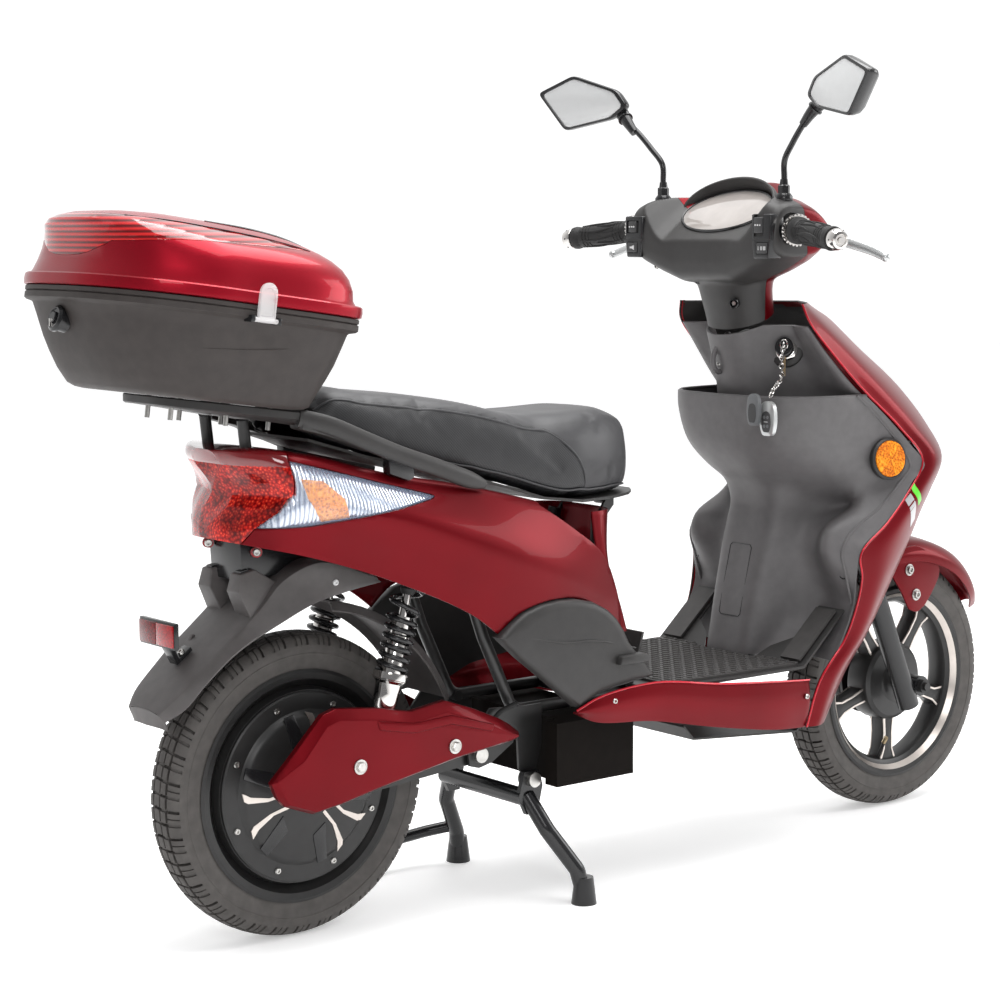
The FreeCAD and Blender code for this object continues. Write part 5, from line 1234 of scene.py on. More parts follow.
def leg_shield():
    lower = wall_mesh("lower", [full(z, r) for z, r in SHIELD], 6)
    thicken(lower, 3.4, 1)
    settle(round_edges(lower, 1.2, 3, 50), 40)
    upper = wall_mesh("upper", [full(z, r) for z, r in UPPER_SHIELD], 7)
    thicken(upper, 3.4, 1)
    settle(round_edges(upper, 1.0, 2, 50), 40)
    neck = on_axis(NECK_HEIGHT - 5)
    upper = cut_rod(upper, neck, UP_AXIS, 80, 0, 95)
    upper = cut_rod(upper, LOCK, LOCK_OUT, 13.5, -40, 30)
    parts = [lower, upper]
    # floor of the bowl, and the deck that closes the head cover round the column
    bowl_back = full(643, SHIELD[8][1], 2.0)
    bowl_front = full(643, UPPER_SHIELD[0][1], 2.5)
    floor = surface("bowl_floor", patch([bowl_back, bowl_front], 8, 4), SHIELD_BLACK)
    parts.append(settle(thicken(floor, 3), 40))
    # raised bead inside each outer edge, and the rim bead round the bowl's lip
    for side in (RIGHT, LEFT):
        edge = spline([V(row[1][0] - 4, side * (abs(row[1][1]) + 2), z) for z, row in SHIELD[1:]], 4)
        parts.append(pipe("bead", edge, 2.2, SHIELD_BLACK, smooth=False, sides=8))
    lip = spline(full(721.6, SHIELD[10][1], 1.6), 6)
    parts.append(pipe("lip", lip, 2.5, SHIELD_BLACK, smooth=False, sides=10))
    # cover screw pockets, the bag hook and the cable hatch on the spine
    for y in (-168, 168):
        parts.append(lathe("pocket", [(7, -1), (7, 1.5), (5.4, 1.5), (4.8, -2), (0.01, -2)],
                           V(937, y, 440), V(-1, -0.35 * (1 if y < 0 else -1), 0), GLOSS_BLACK, 24))
    hook = pipe("hook", [V(852, 14, 803), V(832, 14, 797), V(823, 14, 781), V(825, 14, 765), V(835, 14, 757),
                         V(846, 14, 762)], 4.2, SHIELD_BLACK, sides=14)
    pad = lathe("hook_plate", [(0.01, 0), (14, 0), (14, 5), (11, 7), (0.01, 7)], V(853, 14, 800),
                V(-1, 0, 0.25), SHIELD_BLACK,
                32, 0, (0.75, 1.5))
    parts += [hook, settle(pad, 35), screw(V(838, 14, 770), V(-0.7, 0, 0.2), 5, ZINC, 4)]
    hatch = [(-20, 478), (20, 478), (24, 474), (24, 368), (20, 364), (-20, 364), (-24, 368), (-24, 474)]
    tree = BVHTree.FromObject(lower, bpy.context.evaluated_depsgraph_get())
    edge = []
    for y, z in hatch + [hatch[0]]:
        hit = tree.ray_cast(world((700, y, z)), Vector((1, 0, 0)))[0]
        edge.append(V(hit.x / MM + REAR_AXLE_X - 0.1, hit.y / MM, hit.z / MM))
    for a, b in zip(edge, edge[1:]):
        parts.append(pipe("seam", [a, b], 0.75, GLOSS_BLACK, smooth=False, sides=6))
    whole = settle(join("leg_shield_inner", parts), 38)
    ride(whole, "chassis", "inner_leg_shield", slot="black_plastic")


def apron():
    """Red outer skin, split at the nose line into two side panels and the front apron."""
    right_rows = [[V(x, y, z) for x, y in row] for z, row in APRON]
    grid = patch(right_rows, 9, 6)
    for row in grid:
        row.insert(0, row[0] + V(0.5, 4.2, 0))
    skin = surface("apron_skin", grid, RED)
    settle(round_edges(thicken(skin, 2.6), 0.8, 2, 45), 30)
    nose_way = [(1175, 480), (1175, 640), (1020, 900), (1400, 900), (1400, 480)]
    nose = region(skin, "nose", nose_way, -300, 300, RED)
    side_cut(skin, grown(nose_way, 0.8))
    edge_line = [row[1] for row in grid]
    # The rod along the panel's rear edge is the brighter red: a painted edge highlight.
    rail = pipe("edge_line", [p + V(-0.6, -0.5, 0) for p in edge_line], 1.7, RED_EDGE_HIGHLIGHT, smooth=False, sides=8)
    sill_rows = [[V(x, -out, top), V(x, -out - 2, (top + bottom) / 2), V(x, -out + 8, bottom)]
                 for x, top, bottom, out in ((384, 293, 288, 168), (427, 309, 270, 172), (530, 318, 259, 176),
                                             (663, 300, 232, 178), (790, 288, 211, 178), (856, 282, 206, 174))]
    sill_grid = patch(sill_rows, 7, 8)
    sill = settle(round_edges(thicken(surface("sill", sill_grid, RED), 2.6), 0.8, 2, 45), 30)
    # The rod along the top of the sill is the brighter red: a painted edge highlight.
    top_line = pipe("sill_line", [row[0] + V(0, -0.4, 0.4) for row in sill_grid], 1.6, RED_EDGE_HIGHLIGHT, smooth=False,
                    sides=8)
    parts = [skin, rail, sill, top_line, screw(V(846, -178.5, 258), V(0, -1, 0), 4.2, ZINC, 3),
             screw(V(452, -173.5, 300), V(0, -1, 0), 4.2, ZINC, 3)]
    right = settle(join("right_leg_shell", parts), 30)
    right.data.materials.append(PLASTIC)
    for face in right.data.polygons:
        if face.normal.y > 0.3 and face.center.z > 0.33:
            face.material_index = len(right.data.materials) - 1
    left = mirror(right, "left_leg_shell")
    ride(right, "chassis", "right_leg_panel", slot="red_panel")
    ride(left, "chassis", "left_leg_panel", slot="red_panel")
    for side, panel in ((RIGHT, right), (LEFT, left)):
        hand = "right" if side < 0 else "left"
        for label, corners, material in (("green", [(1061, 579), (1054, 571), (1076, 541), (1082, 550)], GREEN),
                                         ("silver", [(1047, 563), (1034, 553), (1060, 506), (1074, 518)],
                                          DECAL_GREY)):
            mark = drape(f"{hand}_leg_{label}", corners, side, panel, material)
            if mark:
                ride(mark, "chassis")
    other = mirror(nose, "nose_left")
    front = settle(join("front_apron_shell", [nose, other]), 30)
    ride(front, "chassis", "front_apron", slot="red_panel")


def floor():
    """Ribbed rubber mats: chevrons on the flat and on the two ramps."""
    def on_floor(along, y):
        if along <= 852:
            return V(along, y, 308.3), V(0, 0, 1)
        t = along - 852
        return V(852 + t * 0.748, y, 309.5 + t * 0.664), V(-0.664, 0, 0.748)

    def chevrons(name, first, last, low, high):
        points, faces = [], []
        step, wide = 11.5, 13.0
        along, row = first, 0
        while along < last - step:
            y, k = low, 0
            while y < high - wide * 0.6:
                sign = 1 if (k + row) % 2 else -1
                a0, a1 = along + 2, along + step - 2.5
                corners = [(a0 - sign * 2.2, y + 1.2), (a1 - sign * 2.2, y + 1.2),
                           (a1 + sign * 2.2, min(y + wide - 1.2, high)),
                           (a0 + sign * 2.2, min(y + wide - 1.2, high))]
                base = len(points)
                for lift, shrink in ((0, 0), (1.5, 0.9)):
                    for j, (a, b) in enumerate(corners):
                        a += shrink if j in (0, 3) else -shrink
                        b += shrink if j in (0, 1) else -shrink
                        p, up = on_floor(a, b)
                        points.append(p + up * lift)
                faces += [(base + 4, base + 5, base + 6, base + 7)]
                faces += [(base + j, base + (j + 1) % 4, base + 4 + (j + 1) % 4,
                           base + 4 + j) for j in range(4)]
                y, k = y + wide, k + 1
            along, row = along + step, row + 1
        return face_outwards(make(name, points, faces, MAT_RUBBER))

    parts = [chevrons("flat", 580, 838, -150, 150)]
    for low, high in ((-157, -117), (117, 157)):
        parts.append(chevrons("ramp", 853, 955, low, high))
    for low, high in ((-158, -76), (76, 158)):
        parts.append(chevrons("wing", 838, 851, low, high))
    whole = settle(join("mat_ribs", parts), 30)
    ride(whole, "chassis", slot="rubber")


leg_shield()
apron()
floor()


# ---------------------------------------------------------------- handlebar group
GRIP_IN, GRIP_OUT = V(800, 205, 980), V(766, 316, 967)


def along_grip(distance, side=LEFT):
    spot = GRIP_IN + (GRIP_OUT - GRIP_IN).normalized() * distance
    return V(spot.x, side * spot.y, spot.z)


def grip_way(side):
    return (along_grip(10, side) - along_grip(0, side)).normalized()


DASH_OUT = V(-math.sin(math.radians(37)), 0, math.cos(math.radians(37)))
DASH_FOOT = V(838, 0, 1012)
GRIP_BACK = 18


def dash_ring(share, lift, count=64, wide=97, long=55):
    along = V(0, 1, 0).cross(DASH_OUT)
    return [DASH_FOOT + DASH_OUT * lift + (V(0, wide, 0) * math.cos(t) + along * long * math.sin(t)) * share
            for t in [math.tau * k / count for k in range(count)]]


def cover_blank():
    """Neck, binnacle and two wings melted into one soft form, cut down to the tilt of the dial."""
    neck = [(800, 876, 42, 58), (812, 874, 43, 61), (843, 868, 44, 63), (890, 857, 47, 69), (940, 848, 56, 84),
            (985, 843, 66, 103), (1020, 848, 66, 105), (1046, 856, 60, 96), (1058, 860, 50, 82)]
    loops = [[V(cx + hx * math.cos(t), hy * math.sin(t), z) for t in [math.tau * k / 40 for k in range(40)]]
             for z, cx, hx, hy in neck]
    blank = face_outwards(surface("neck", loops, PLASTIC, closed=True, caps=True))

    def wing(y, x0, x1, z0, z1):
        middle = (z0 + z1) / 2
        corners = [(x0, z0 + 14), (x0 + 4, z1 - 16), (x0 + 18, z1), (x1 - 44, z1 - 1), (x1 - 16, middle + 22),
                   (x1, middle),
                   (x1 - 22, z0 + 8), (x1 - 50, z0), (x0 + 20, z0)]
        return [V(p.x, y, p.y) for p in spline([V(a, b, 0) for a, b in corners], 5, closed=True)]

    half = [(60, 782, 912, 902, 1036), (100, 778, 912, 916, 1034), (135, 776, 910, 930, 1028),
            (158, 777, 904, 941, 1020),
            (167, 781, 898, 945, 1014)]
    rows = [wing(-y, *box) for y, *box in reversed(half)] + [wing(y, *box) for y, *box in half]
    boolean(blank, face_outwards(surface("wings", rows, PLASTIC, closed=True, caps=True)), "UNION")
    loops = []
    for y, rise in ((-150, 62), (-122, 34), (-104, 12), (-88, 0), (88, 0), (104, 12), (122, 34), (150, 62)):
        line = [(x, 1012 + (x - 838) * 0.754 + rise) for x in (700, 940)]
        loops.append([V(700, y, line[0][1]), V(940, y, line[1][1]), V(940, y, 1300), V(700, y, 1300)])
    boolean(blank, face_outwards(surface("shear", loops, None, closed=True, caps=True)), "DIFFERENCE")
    change = blank.modifiers.new("melt", "REMESH")
    change.mode, change.voxel_size = "VOXEL", 3.0 * MM
    soften = blank.modifiers.new("soften", "SMOOTH")
    soften.factor, soften.iterations = 0.6, 7
    settle(blank, 60)
    return blank


def bar_cover():
    blank = cover_blank()
    edge = [(850 + (940 - z) * 0.13, z) for z in (740, 1100)]
    ahead = [edge[0], edge[1], (1200, 1100), (1200, 740)]
    foot, up = on_axis(NECK_HEIGHT), UP_AXIS
    trim = lathe("trim", [(0.01, -140), (140, -140), (140, 0), (0.01, 0)], foot, up, None, 48)
    boolean(blank, trim, "DIFFERENCE")

    def oval(name, profile, material):
        rows = [dash_ring(share, lift) for share, lift in profile]
        return face_outwards(surface(name, rows, material, closed=True, caps=True))

    boolean(blank, oval("way", [(0.84, -9), (0.93, -2), (0.97, 20), (1.0, 60)], None), "DIFFERENCE")
    for side in (RIGHT, LEFT):
        drill = lathe("drill", [(0.01, -40), (24.5, -40), (24.5, 30), (0.01, 30)],
                      along_grip(-GRIP_BACK, side), grip_way(side),
                      None, 32)
        boolean(blank, drill, "DIFFERENCE")
    front = copy_of(blank, "front_half")
    side_cut(front, ahead, "INTERSECT")
    side_cut(blank, grown(ahead, 0.8))
    front.data.materials.clear()
    front.data.materials.append(RED)
    parts = [settle(blank, 40)]
    # visor round the far side of the dial
    along = V(0, 1, 0).cross(DASH_OUT)
    forward = 1 if along.x > 0 else -1
    sections = []
    for k in range(33):
        t = math.radians(-14 + 208 * k / 32) * forward
        far = max(math.sin(math.radians(-14 + 208 * k / 32)), 0) ** 0.6
        out = (V(0, 97, 0) * math.cos(t) + along * 55 * math.sin(t))
        foot, way = DASH_FOOT + out, out.normalized()
        sections.append([foot - DASH_OUT * 5, foot + way * 9 - DASH_OUT * 7,
                         foot + way * 9 + DASH_OUT * (1 + 13 * far),
                         foot + way * 5 + DASH_OUT * (3 + 21 * far),
                         foot + way * 1 + DASH_OUT * (2.4 + 21 * far),
                         foot + way * 1.5 + DASH_OUT * (1 + 8 * far)])
    visor = face_outwards(surface("visor", sections, PLASTIC, closed=True, caps=True))
    parts.append(settle(round_edges(visor, 1.2, 2), 55))
    for y, z, half_y, half_z in ((148, 972, 21, 33), (-143, 973, 21, 34)):
        outline = [(y - half_y * 0.75, z - half_z), (y + half_y * 0.8, z - half_z), (y + half_y, z - 4),
                   (y + half_y, z + half_z),
                   (y - half_y, z + half_z), (y - half_y, z - 2)]
        outer = prism(outline, 771.4, 800, "X", GLOSS_BLACK)
        settle(round_edges(outer, 2.6, 3), 35)
        for name, (cy, cz, hy, hz) in SWITCH_WAYS.items():
            if abs(cy - y) < 20:
                way = prism([(cy - hy, cz - hz), (cy + hy, cz - hz), (cy + hy, cz + hz), (cy - hy, cz + hz)],
                            760, 800, "X")
                boolean(outer, way, "DIFFERENCE")
        parts.append(settle(outer, 35))
        parts.append(prism([(y - half_y, z - 5), (y + half_y, z - 5), (y + half_y, z - 4),
                            (y - half_y, z - 4)], 771.2, 775, "X",
                           PLASTIC))
    for y, z, x in ((-38, 868, 818), (40, 905, 812)):
        parts.append(settle(lathe("counterbore", [(8, -6), (8, 1.6), (6.4, 2.2), (5.8, -5), (0.01, -5)],
                                  V(x, y, z),
                                  V(-1, -0.5 if y < 0 else 0.3, 0), GLOSS_BLACK, 24), 35))
        parts.append(screw(V(x, y, z), V(-1, -0.5 if y < 0 else 0.3, 0), 3.6, ZINC, 2))
    parts.append(screw(V(790, 112, 925), V(-1, 0.2, -0.3), 4.6, ZINC, 3))
    ride(settle(join("rear_cover_shell", parts), 40), "steering", "rear_bar_cover", slot="black_plastic")
    lamp_box = [(880, 940), (1000, 940), (1000, 1000), (880, 1000)]
    glass = region(front, "head_lamp", lamp_box, -64, 64, CLEAR)
    side_cut(front, grown(lamp_box, 0.6), "DIFFERENCE", -64.6, 64.6)
    ride(settle(front, 40), "steering", "front_bar_cover", slot="red_panel")
    dial = oval("dash_dial", [(0.945, -4), (0.95, 1.2), (0.9, 2.2), (0.7, 3.6), (0.4, 4.6), (0.15, 5)], DASH)
    rim = [p + DASH_OUT * 0.6 for p in dash_ring(0.955, 0.6, 72)]
    rim_piece = pipe("dial_rim", rim, 2.2, GLOSS_BLACK, smooth=False, closed=True, sides=8)
    ride(settle(join("dash_glass", [settle(dial, 40), settle(rim_piece, 50)]), 40), "steering",
         "cockpit_lenses",
         slot="clear_lens")
    bowl = copy_of(glass, "head_lamp_bowl")
    bowl.data.materials.clear()
    bowl.data.materials.append(REFLECTOR_BOWL)
    bowl.data.transform(Matrix.Translation((-8 * MM, 0, 0)))
    for piece in (glass, bowl):
        ride(settle(piece, 40), "steering", slot="clear_lens")


# centre and half size of each control's way, as (y, z, half y, half z)
SWITCH_WAYS = {"indicator_switch": (150, 988, 14, 10), "horn_button": (150, 955, 12, 9),
               "lamp_switch": (-138, 990, 10, 17), "speed_switch": (-146, 955, 12, 9)}
CONTROLS = {"indicator_switch": (150, 988, 9, 9), "horn_button": (150, 955, 11, 8),
            "lamp_switch": (-138, 990, 9, 12), "speed_switch": (-146, 955, 11, 8)}


def controls():
    for name, (y, z, hy, hz) in CONTROLS.items():
        cap = prism([(y - hy, z - hz), (y + hy, z - hz), (y + hy, z + hz), (y - hy, z + hz)], 769.4, 786, "X",
                    GREY_BLACK)
        parts = [settle(round_edges(cap, 1.6, 3), 35)]
        if name == "speed_switch":
            for k, spots in enumerate(((0,), (-1.2, 1.2), (-1.8, 0, 1.8))):
                for s in spots:
                    bar = prism([(y + 6.5 - 6.5 * k + s - 0.5, z - 3), (y + 6.5 - 6.5 * k + s + 0.5, z - 3),
                                 (y + 6.5 - 6.5 * k + s + 0.5, z + 3), (y + 6.5 - 6.5 * k + s - 0.5, z + 3)],
                                769, 770.5, "X", PALE)
                    parts.append(bar)
        elif name == "horn_button":
            horn = prism([(y + 5, z - 1.5), (y + 1, z - 1.5), (y - 5, z - 4), (y - 5, z + 4),
                          (y + 1, z + 1.5), (y + 5, z + 1.5)],
                         769, 770.5, "X", PALE)
            parts.append(horn)
        else:
            for dy in (-5, 0, 5):
                parts.append(lathe("dot", [(0.01, 0), (1.4, 0), (1.2, 1.2), (0.01, 1.4)], V(769.6, y + dy, z),
                                   V(-1, 0, 0),
                                   PALE, 12))
        ride(settle(join(name + "_cap", parts), 35), name, name, slot="black_plastic")


GREY_BLACK = finish_of("switch_cap", (0.035, 0.035, 0.036), 0.4, mottle=0.08, grain=0.2).material


def grips():
    for node, body, side in (("left_grip", "steering", LEFT), ("throttle_grip", "throttle", RIGHT)):
        run, foot = grip_way(side), along_grip(-GRIP_BACK, side)
        profile = [(11.1, 1.2), (20.5, 1.2), (21, 2.5), (21, 5), (18.5, 7), (16.6, 9), (16.4, 12), (17, 14),
                   (17, 96),
                   (16.4, 98), (17.8, 102), (18.6, 107), (17.8, 112.6), (11.1, 113)]
        grip = lathe("grip", profile, foot, run, RUBBER, 60)
        ridges = [settle(grip, 30)]
        u, w = frame_along(run)
        for k in range(14):
            t = math.tau * k / 14
            out, across = u * math.cos(t) + w * math.sin(t), w * math.cos(t) - u * math.sin(t)
            start, stop = (14, 62) if k % 2 else (30, 94)
            line = [foot + run * a + out * 17.4 + across * c for a, c in
                    ((start, -1.6), ((start + stop) / 2, 1.6), (stop, -1.6))]
            ridges.append(pipe("rib", line, 1.5, RUBBER, sides=8, flat=(1, 1.5),
                               taper=lambda t: 0.3 + 0.7 * math.sin(math.pi * min(max(t, 0.08), 0.92))))
        for a in (18, 24, 30, 78, 84, 90):
            ridges.append(settle(ring("band",
                                      [(16.6, a - 1.2), (17.9, a - 0.8), (17.9, a + 0.8), (16.6, a + 1.2)],
                                      foot, run,
                                      RUBBER, 48), 40))
        ride(settle(join(node + "_rubber", ridges), 30), body, node, slot="rubber")
    parts = []
    for side in (RIGHT, LEFT):
        run, foot = grip_way(side), along_grip(-GRIP_BACK, side)
        parts.append(settle(lathe("collar",
                                  [(11.2, -16), (18, -16), (20, -11), (24, -7), (24.4, -5.5), (22.6, -5),
                                   (22.6, 1),
                                             (11.2, 1)], foot, run, CHROME, 48), 30))
        u, w = frame_along(run)
        for k in range(24):
            t = math.tau * k / 24
            out = u * math.cos(t) + w * math.sin(t)
            parts.append(pipe("tooth", [foot - run * 5.4 + out * 23, foot + run * 0.6 + out * 23], 2.0, CHROME,
                              smooth=False, sides=8))
        parts.append(settle(lathe("bar_end",
                                  [(0.01, 113.2), (11, 113.2), (14, 114), (16.2, 116), (16.6, 119), (15.4, 126),
                                              (13, 131), (9.4, 132.4), (8.4, 130.6), (5, 130.6), (4.4, 132.8),
                                              (0.01, 132.8)],
                                  foot, run, CHROME, 48), 30))
        for k in range(6):
            t = math.tau * k / 6
            out = u * math.cos(t) + w * math.sin(t)
            parts.append(lathe("dimple", [(0.01, 0), (1.5, 0), (1.3, 0.9), (0.01, 0.9)],
                               foot + run * 123.5 + out * 15.4, out,
                               GLOSS_BLACK, 10))
        # clamp and lever perch between cover and grip
        perch = [along_grip(-30, side), along_grip(-22, side) + V(14, 0, -1), V(850, side * 185, 976)]
        parts.append(settle(pipe("perch", perch, 8.5, GLOSS_BLACK, sides=16, flat=(1.1, 0.9), up=(0, 0, 1)),
                            50))
        parts.append(settle(lathe("pivot",
                                  [(0.01, -14), (7.4, -14), (7.4, -10.2), (4, -10.2), (4, 10.2), (7.4, 10.2),
                                            (7.4, 14), (0.01, 14)], V(850, side * 185, 976), V(0, 0, 1),
                                            GLOSS_BLACK, 24), 30))
        bar = [V(842, side * 4, 962), V(838, side * 60, 966), V(820, side * 130, 976), along_grip(-20, side),
               along_grip(112 - GRIP_BACK, side)]
        parts.append(settle(pipe("tube", bar, 11, STEEL_BLACK, sides=20), 50))
    ride(settle(join("bar_assembly", parts), 30), "steering", "handlebar", slot="chrome")


def lever(side, body, node):
    """Polished blade: wide and flat at the pivot, thinning outwards to a ball."""
    route = [V(846, 178, 977), V(854, 192, 975), V(864, 214, 969), V(871, 246, 960), V(872, 280, 951),
             V(868, 309, 942)]
    route = [V(p.x, side * p.y, p.z) for p in route]
    blade = pipe("blade", route, 8.4, SILVER, sides=16, steps=8, flat=(1.15, 0.55), up=(0.2, 0, 1),
                 taper=lambda t: 1.1 - 0.45 * t)
    tip = lathe("tip", [(0.01, -7), (3.6, -6), (6.2, -3.4), (7, 0), (6.2, 3.4), (3.6, 6), (0.01, 7)], route[-1],
                V(0, side, -0.2), SILVER, 24)
    boss = lathe("boss", [(4.08, -9.8), (8, -9.8), (8, 9.8), (4.08, 9.8)], V(850, side * 185, 976),
                 V(0, 0, 1), SILVER, 28)
    ride(settle(join(node + "_blade", [settle(blade, 60), settle(tip, 60), settle(boss, 30)]), 40), body, node,
         slot="silver_plastic")


# corners of the left mirror as (outboard, z) from the outer tip, and the six-sided glass inside
MIRROR_FACE = [(375, 1211), (307, 1238), (222, 1210), (202, 1184), (230, 1164), (322, 1147)]


def mirror_spot(y, z, ahead):
    return V(801 - (y - 215) * 0.28 + ahead, y + ahead * 0.27, z)


def mirror_head(body_name, side):
    centre = (288, 1190)
    outline = []
    for i, corner in enumerate(MIRROR_FACE):
        before, after = Vector(MIRROR_FACE[i - 1]), Vector(MIRROR_FACE[(i + 1) % 6])
        here = Vector(corner)
        for k in range(5):
            t = k / 4
            a, b = here.lerp(before, 9 / (before - here).length), here.lerp(after, 9 / (after - here).length)
            outline.append(a.lerp(here, t).lerp(here.lerp(b, t), t))

    def loop(share, ahead, drop=0.0):
        return [mirror_spot(centre[0] + (p.x - centre[0]) * share,
                            centre[1] + (p.y - centre[1]) * share - drop, ahead)
                for p in outline]

    shell = surface("shell", [loop(0.86, 4.4), loop(0.875, 0.9), loop(0.9, -0.6), (loop(0.98, 0.2)),
                              loop(1.0, 2.5),
                              loop(0.995, 10), loop(0.93, 20), loop(0.78, 29), loop(0.52, 35), loop(0.2, 37)],
                              GLOSS_BLACK,
                    closed=True, caps=True)
    glass = surface("glass", [loop(0.89, 3.6), loop(0.89, 0.9), loop(0.86, 0.3)], MIRROR, closed=True,
                    caps=True)
    joint = V(811, 206, 1156)
    neck = pipe("neck", [joint + V(0, -15, -15), joint, joint + V(2, 13, 12), joint + V(4, 26, 22),
                         joint + V(8, 40, 30)],
                12.5, GLOSS_BLACK, sides=20, taper=lambda t: 0.56 + 0.5 * min(t * 1.3, 1), flat=(0.9, 1))
    cuff = pipe("cuff", [joint + V(1, 8, 7.4), joint + V(1.4, 9.5, 8.8)], 12.4, GLOSS_BLACK, smooth=False,
                sides=24)
    neck = join("neck", [neck, cuff])
    parts = [settle(face_outwards(shell), 38), settle(face_outwards(glass), 30), settle(neck, 60)]
    whole = join("left_mirror_head", parts)
    if side == RIGHT:
        twin = mirror(whole, "right_mirror_head")
        bpy.data.objects.remove(whole)
        whole = twin
    ride(settle(whole, 38), body_name, body_name, slot="mirror_shell")


def mirror_stalks():
    parts = []
    for side in (RIGHT, LEFT):
        route = [V(826, 137, 1030), V(826, 137.5, 1062), V(825, 138.5, 1088), V(820, 160, 1114),
                 V(815, 186, 1140),
                 V(811, 206, 1156)]
        parts.append(settle(pipe("stalk", [V(p.x, side * p.y, p.z) for p in route], 4.8, GLOSS_BLACK,
                                 sides=16), 60))
        foot = V(826, side * 137, 1030)
        parts.append(settle(lathe("nut", [(0.01, 8), (9.5, 8), (9.5, 20), (7, 22), (6, 30), (0.01, 30)], foot,
                                  V(0, 0, 1),
                                  GLOSS_BLACK, 6), 30))
        parts.append(settle(lathe("boot", [(0.01, -6), (11, -6), (13.5, -2), (13.5, 4), (10, 8.6), (0.01, 9)],
                                  foot, V(0, 0, 1),
                                  GLOSS_BLACK, 32), 40))
        parts.append(settle(lathe("seat", [(0.01, -12), (7, -12), (7, -5), (0.01, -5)], foot, V(0, 0, 1),
                                  BRASSY, 6), 30))
        parts.append(settle(lathe("ball", [(0.01, -8), (5, -6.4), (8, 0), (5, 6.4), (0.01, 8)],
                                  V(811, side * 206, 1156),
                                  V(0, 0, 1), GLOSS_BLACK, 24), 50))
    ride(settle(join("mirror_arms", parts), 40), "steering", "mirror_stalks", slot="black_steel")


bar_cover()
controls()
grips()
lever(LEFT, "left_brake_lever", "left_brake_lever")
lever(RIGHT, "right_brake_lever", "right_brake_lever")
mirror_head("left_mirror", LEFT)
mirror_head("right_mirror", RIGHT)
mirror_stalks()


# ---------------------------------------------------------------- seat
SEAT_TOP = [(-18, 748), (20, 770), (69, 763), (169, 752), (249, 739), (323, 722), (368, 715), (440, 716),
            (501, 719),
            (528, 717), (560, 709), (583, 686), (599, 650)]
SEAT_LOW = [(-18, 705), (20, 692), (84, 673), (204, 647), (290, 627), (345, 607), (400, 593), (470, 591),
            (632, 591)]
SEAT_HALF = [(-18, 84), (20, 100), (60, 110), (200, 118), (330, 128), (430, 130), (490, 117), (530, 100),
             (565, 80),
             (587, 54), (599, 38)]


def seat_section(x, shrink=0.0):
    """Half a cross-section, right side, from the bottom edge up over the rolled shoulder to the crown."""
    top, low, half = read(SEAT_TOP, x) - shrink, read(SEAT_LOW, x) + shrink, read(SEAT_HALF, x) - shrink
    tall = top - low
    return [V(x, -half + 12, low), V(x, -half + 3, low + tall * 0.10), V(x, -half, low + tall * 0.30),
            V(x, -half + 1, low + tall * 0.55), V(x, -half + 7, low + tall * 0.78),
            V(x, -half * 0.82, top - tall * 0.075),
            V(x, -half * 0.6, top - tall * 0.01), V(x, -half * 0.3, top + 0.5), V(x, 0, top + 1)]


def seat_grid(shrink):
    rows = []
    for x in [-18 + shrink, 0, 20, 69, 120, 169, 249, 323, 368, 404, 440, 470, 501, 530, 558, 582,
              599 - shrink]:
        right = seat_section(x, shrink)
        rows.append(right + [V(p.x, -p.y, p.z) for p in reversed(right[:-1])])
    return patch(rows, 3, 3)


def piping_line(side, share=0.80):
    """Where the top cover is sewn to the sides, from the rear along the shoulder and down in front of the hips."""
    spots = []
    for x in range(-8, 400, 24):
        section = seat_section(x)
        spots.append(V(x, side * abs(section[5].y) * 1.045, section[5].z - 5))
    for x, share in ((404, 0.72), (424, 0.56), (438, 0.38), (446, 0.22), (449, 0.06)):
        section = seat_section(x)
        low, top = section[0].z, section[-1].z
        spots.append(V(x, side * (abs(section[2].y) + 0.4), low + (top - low) * share))
    return spots


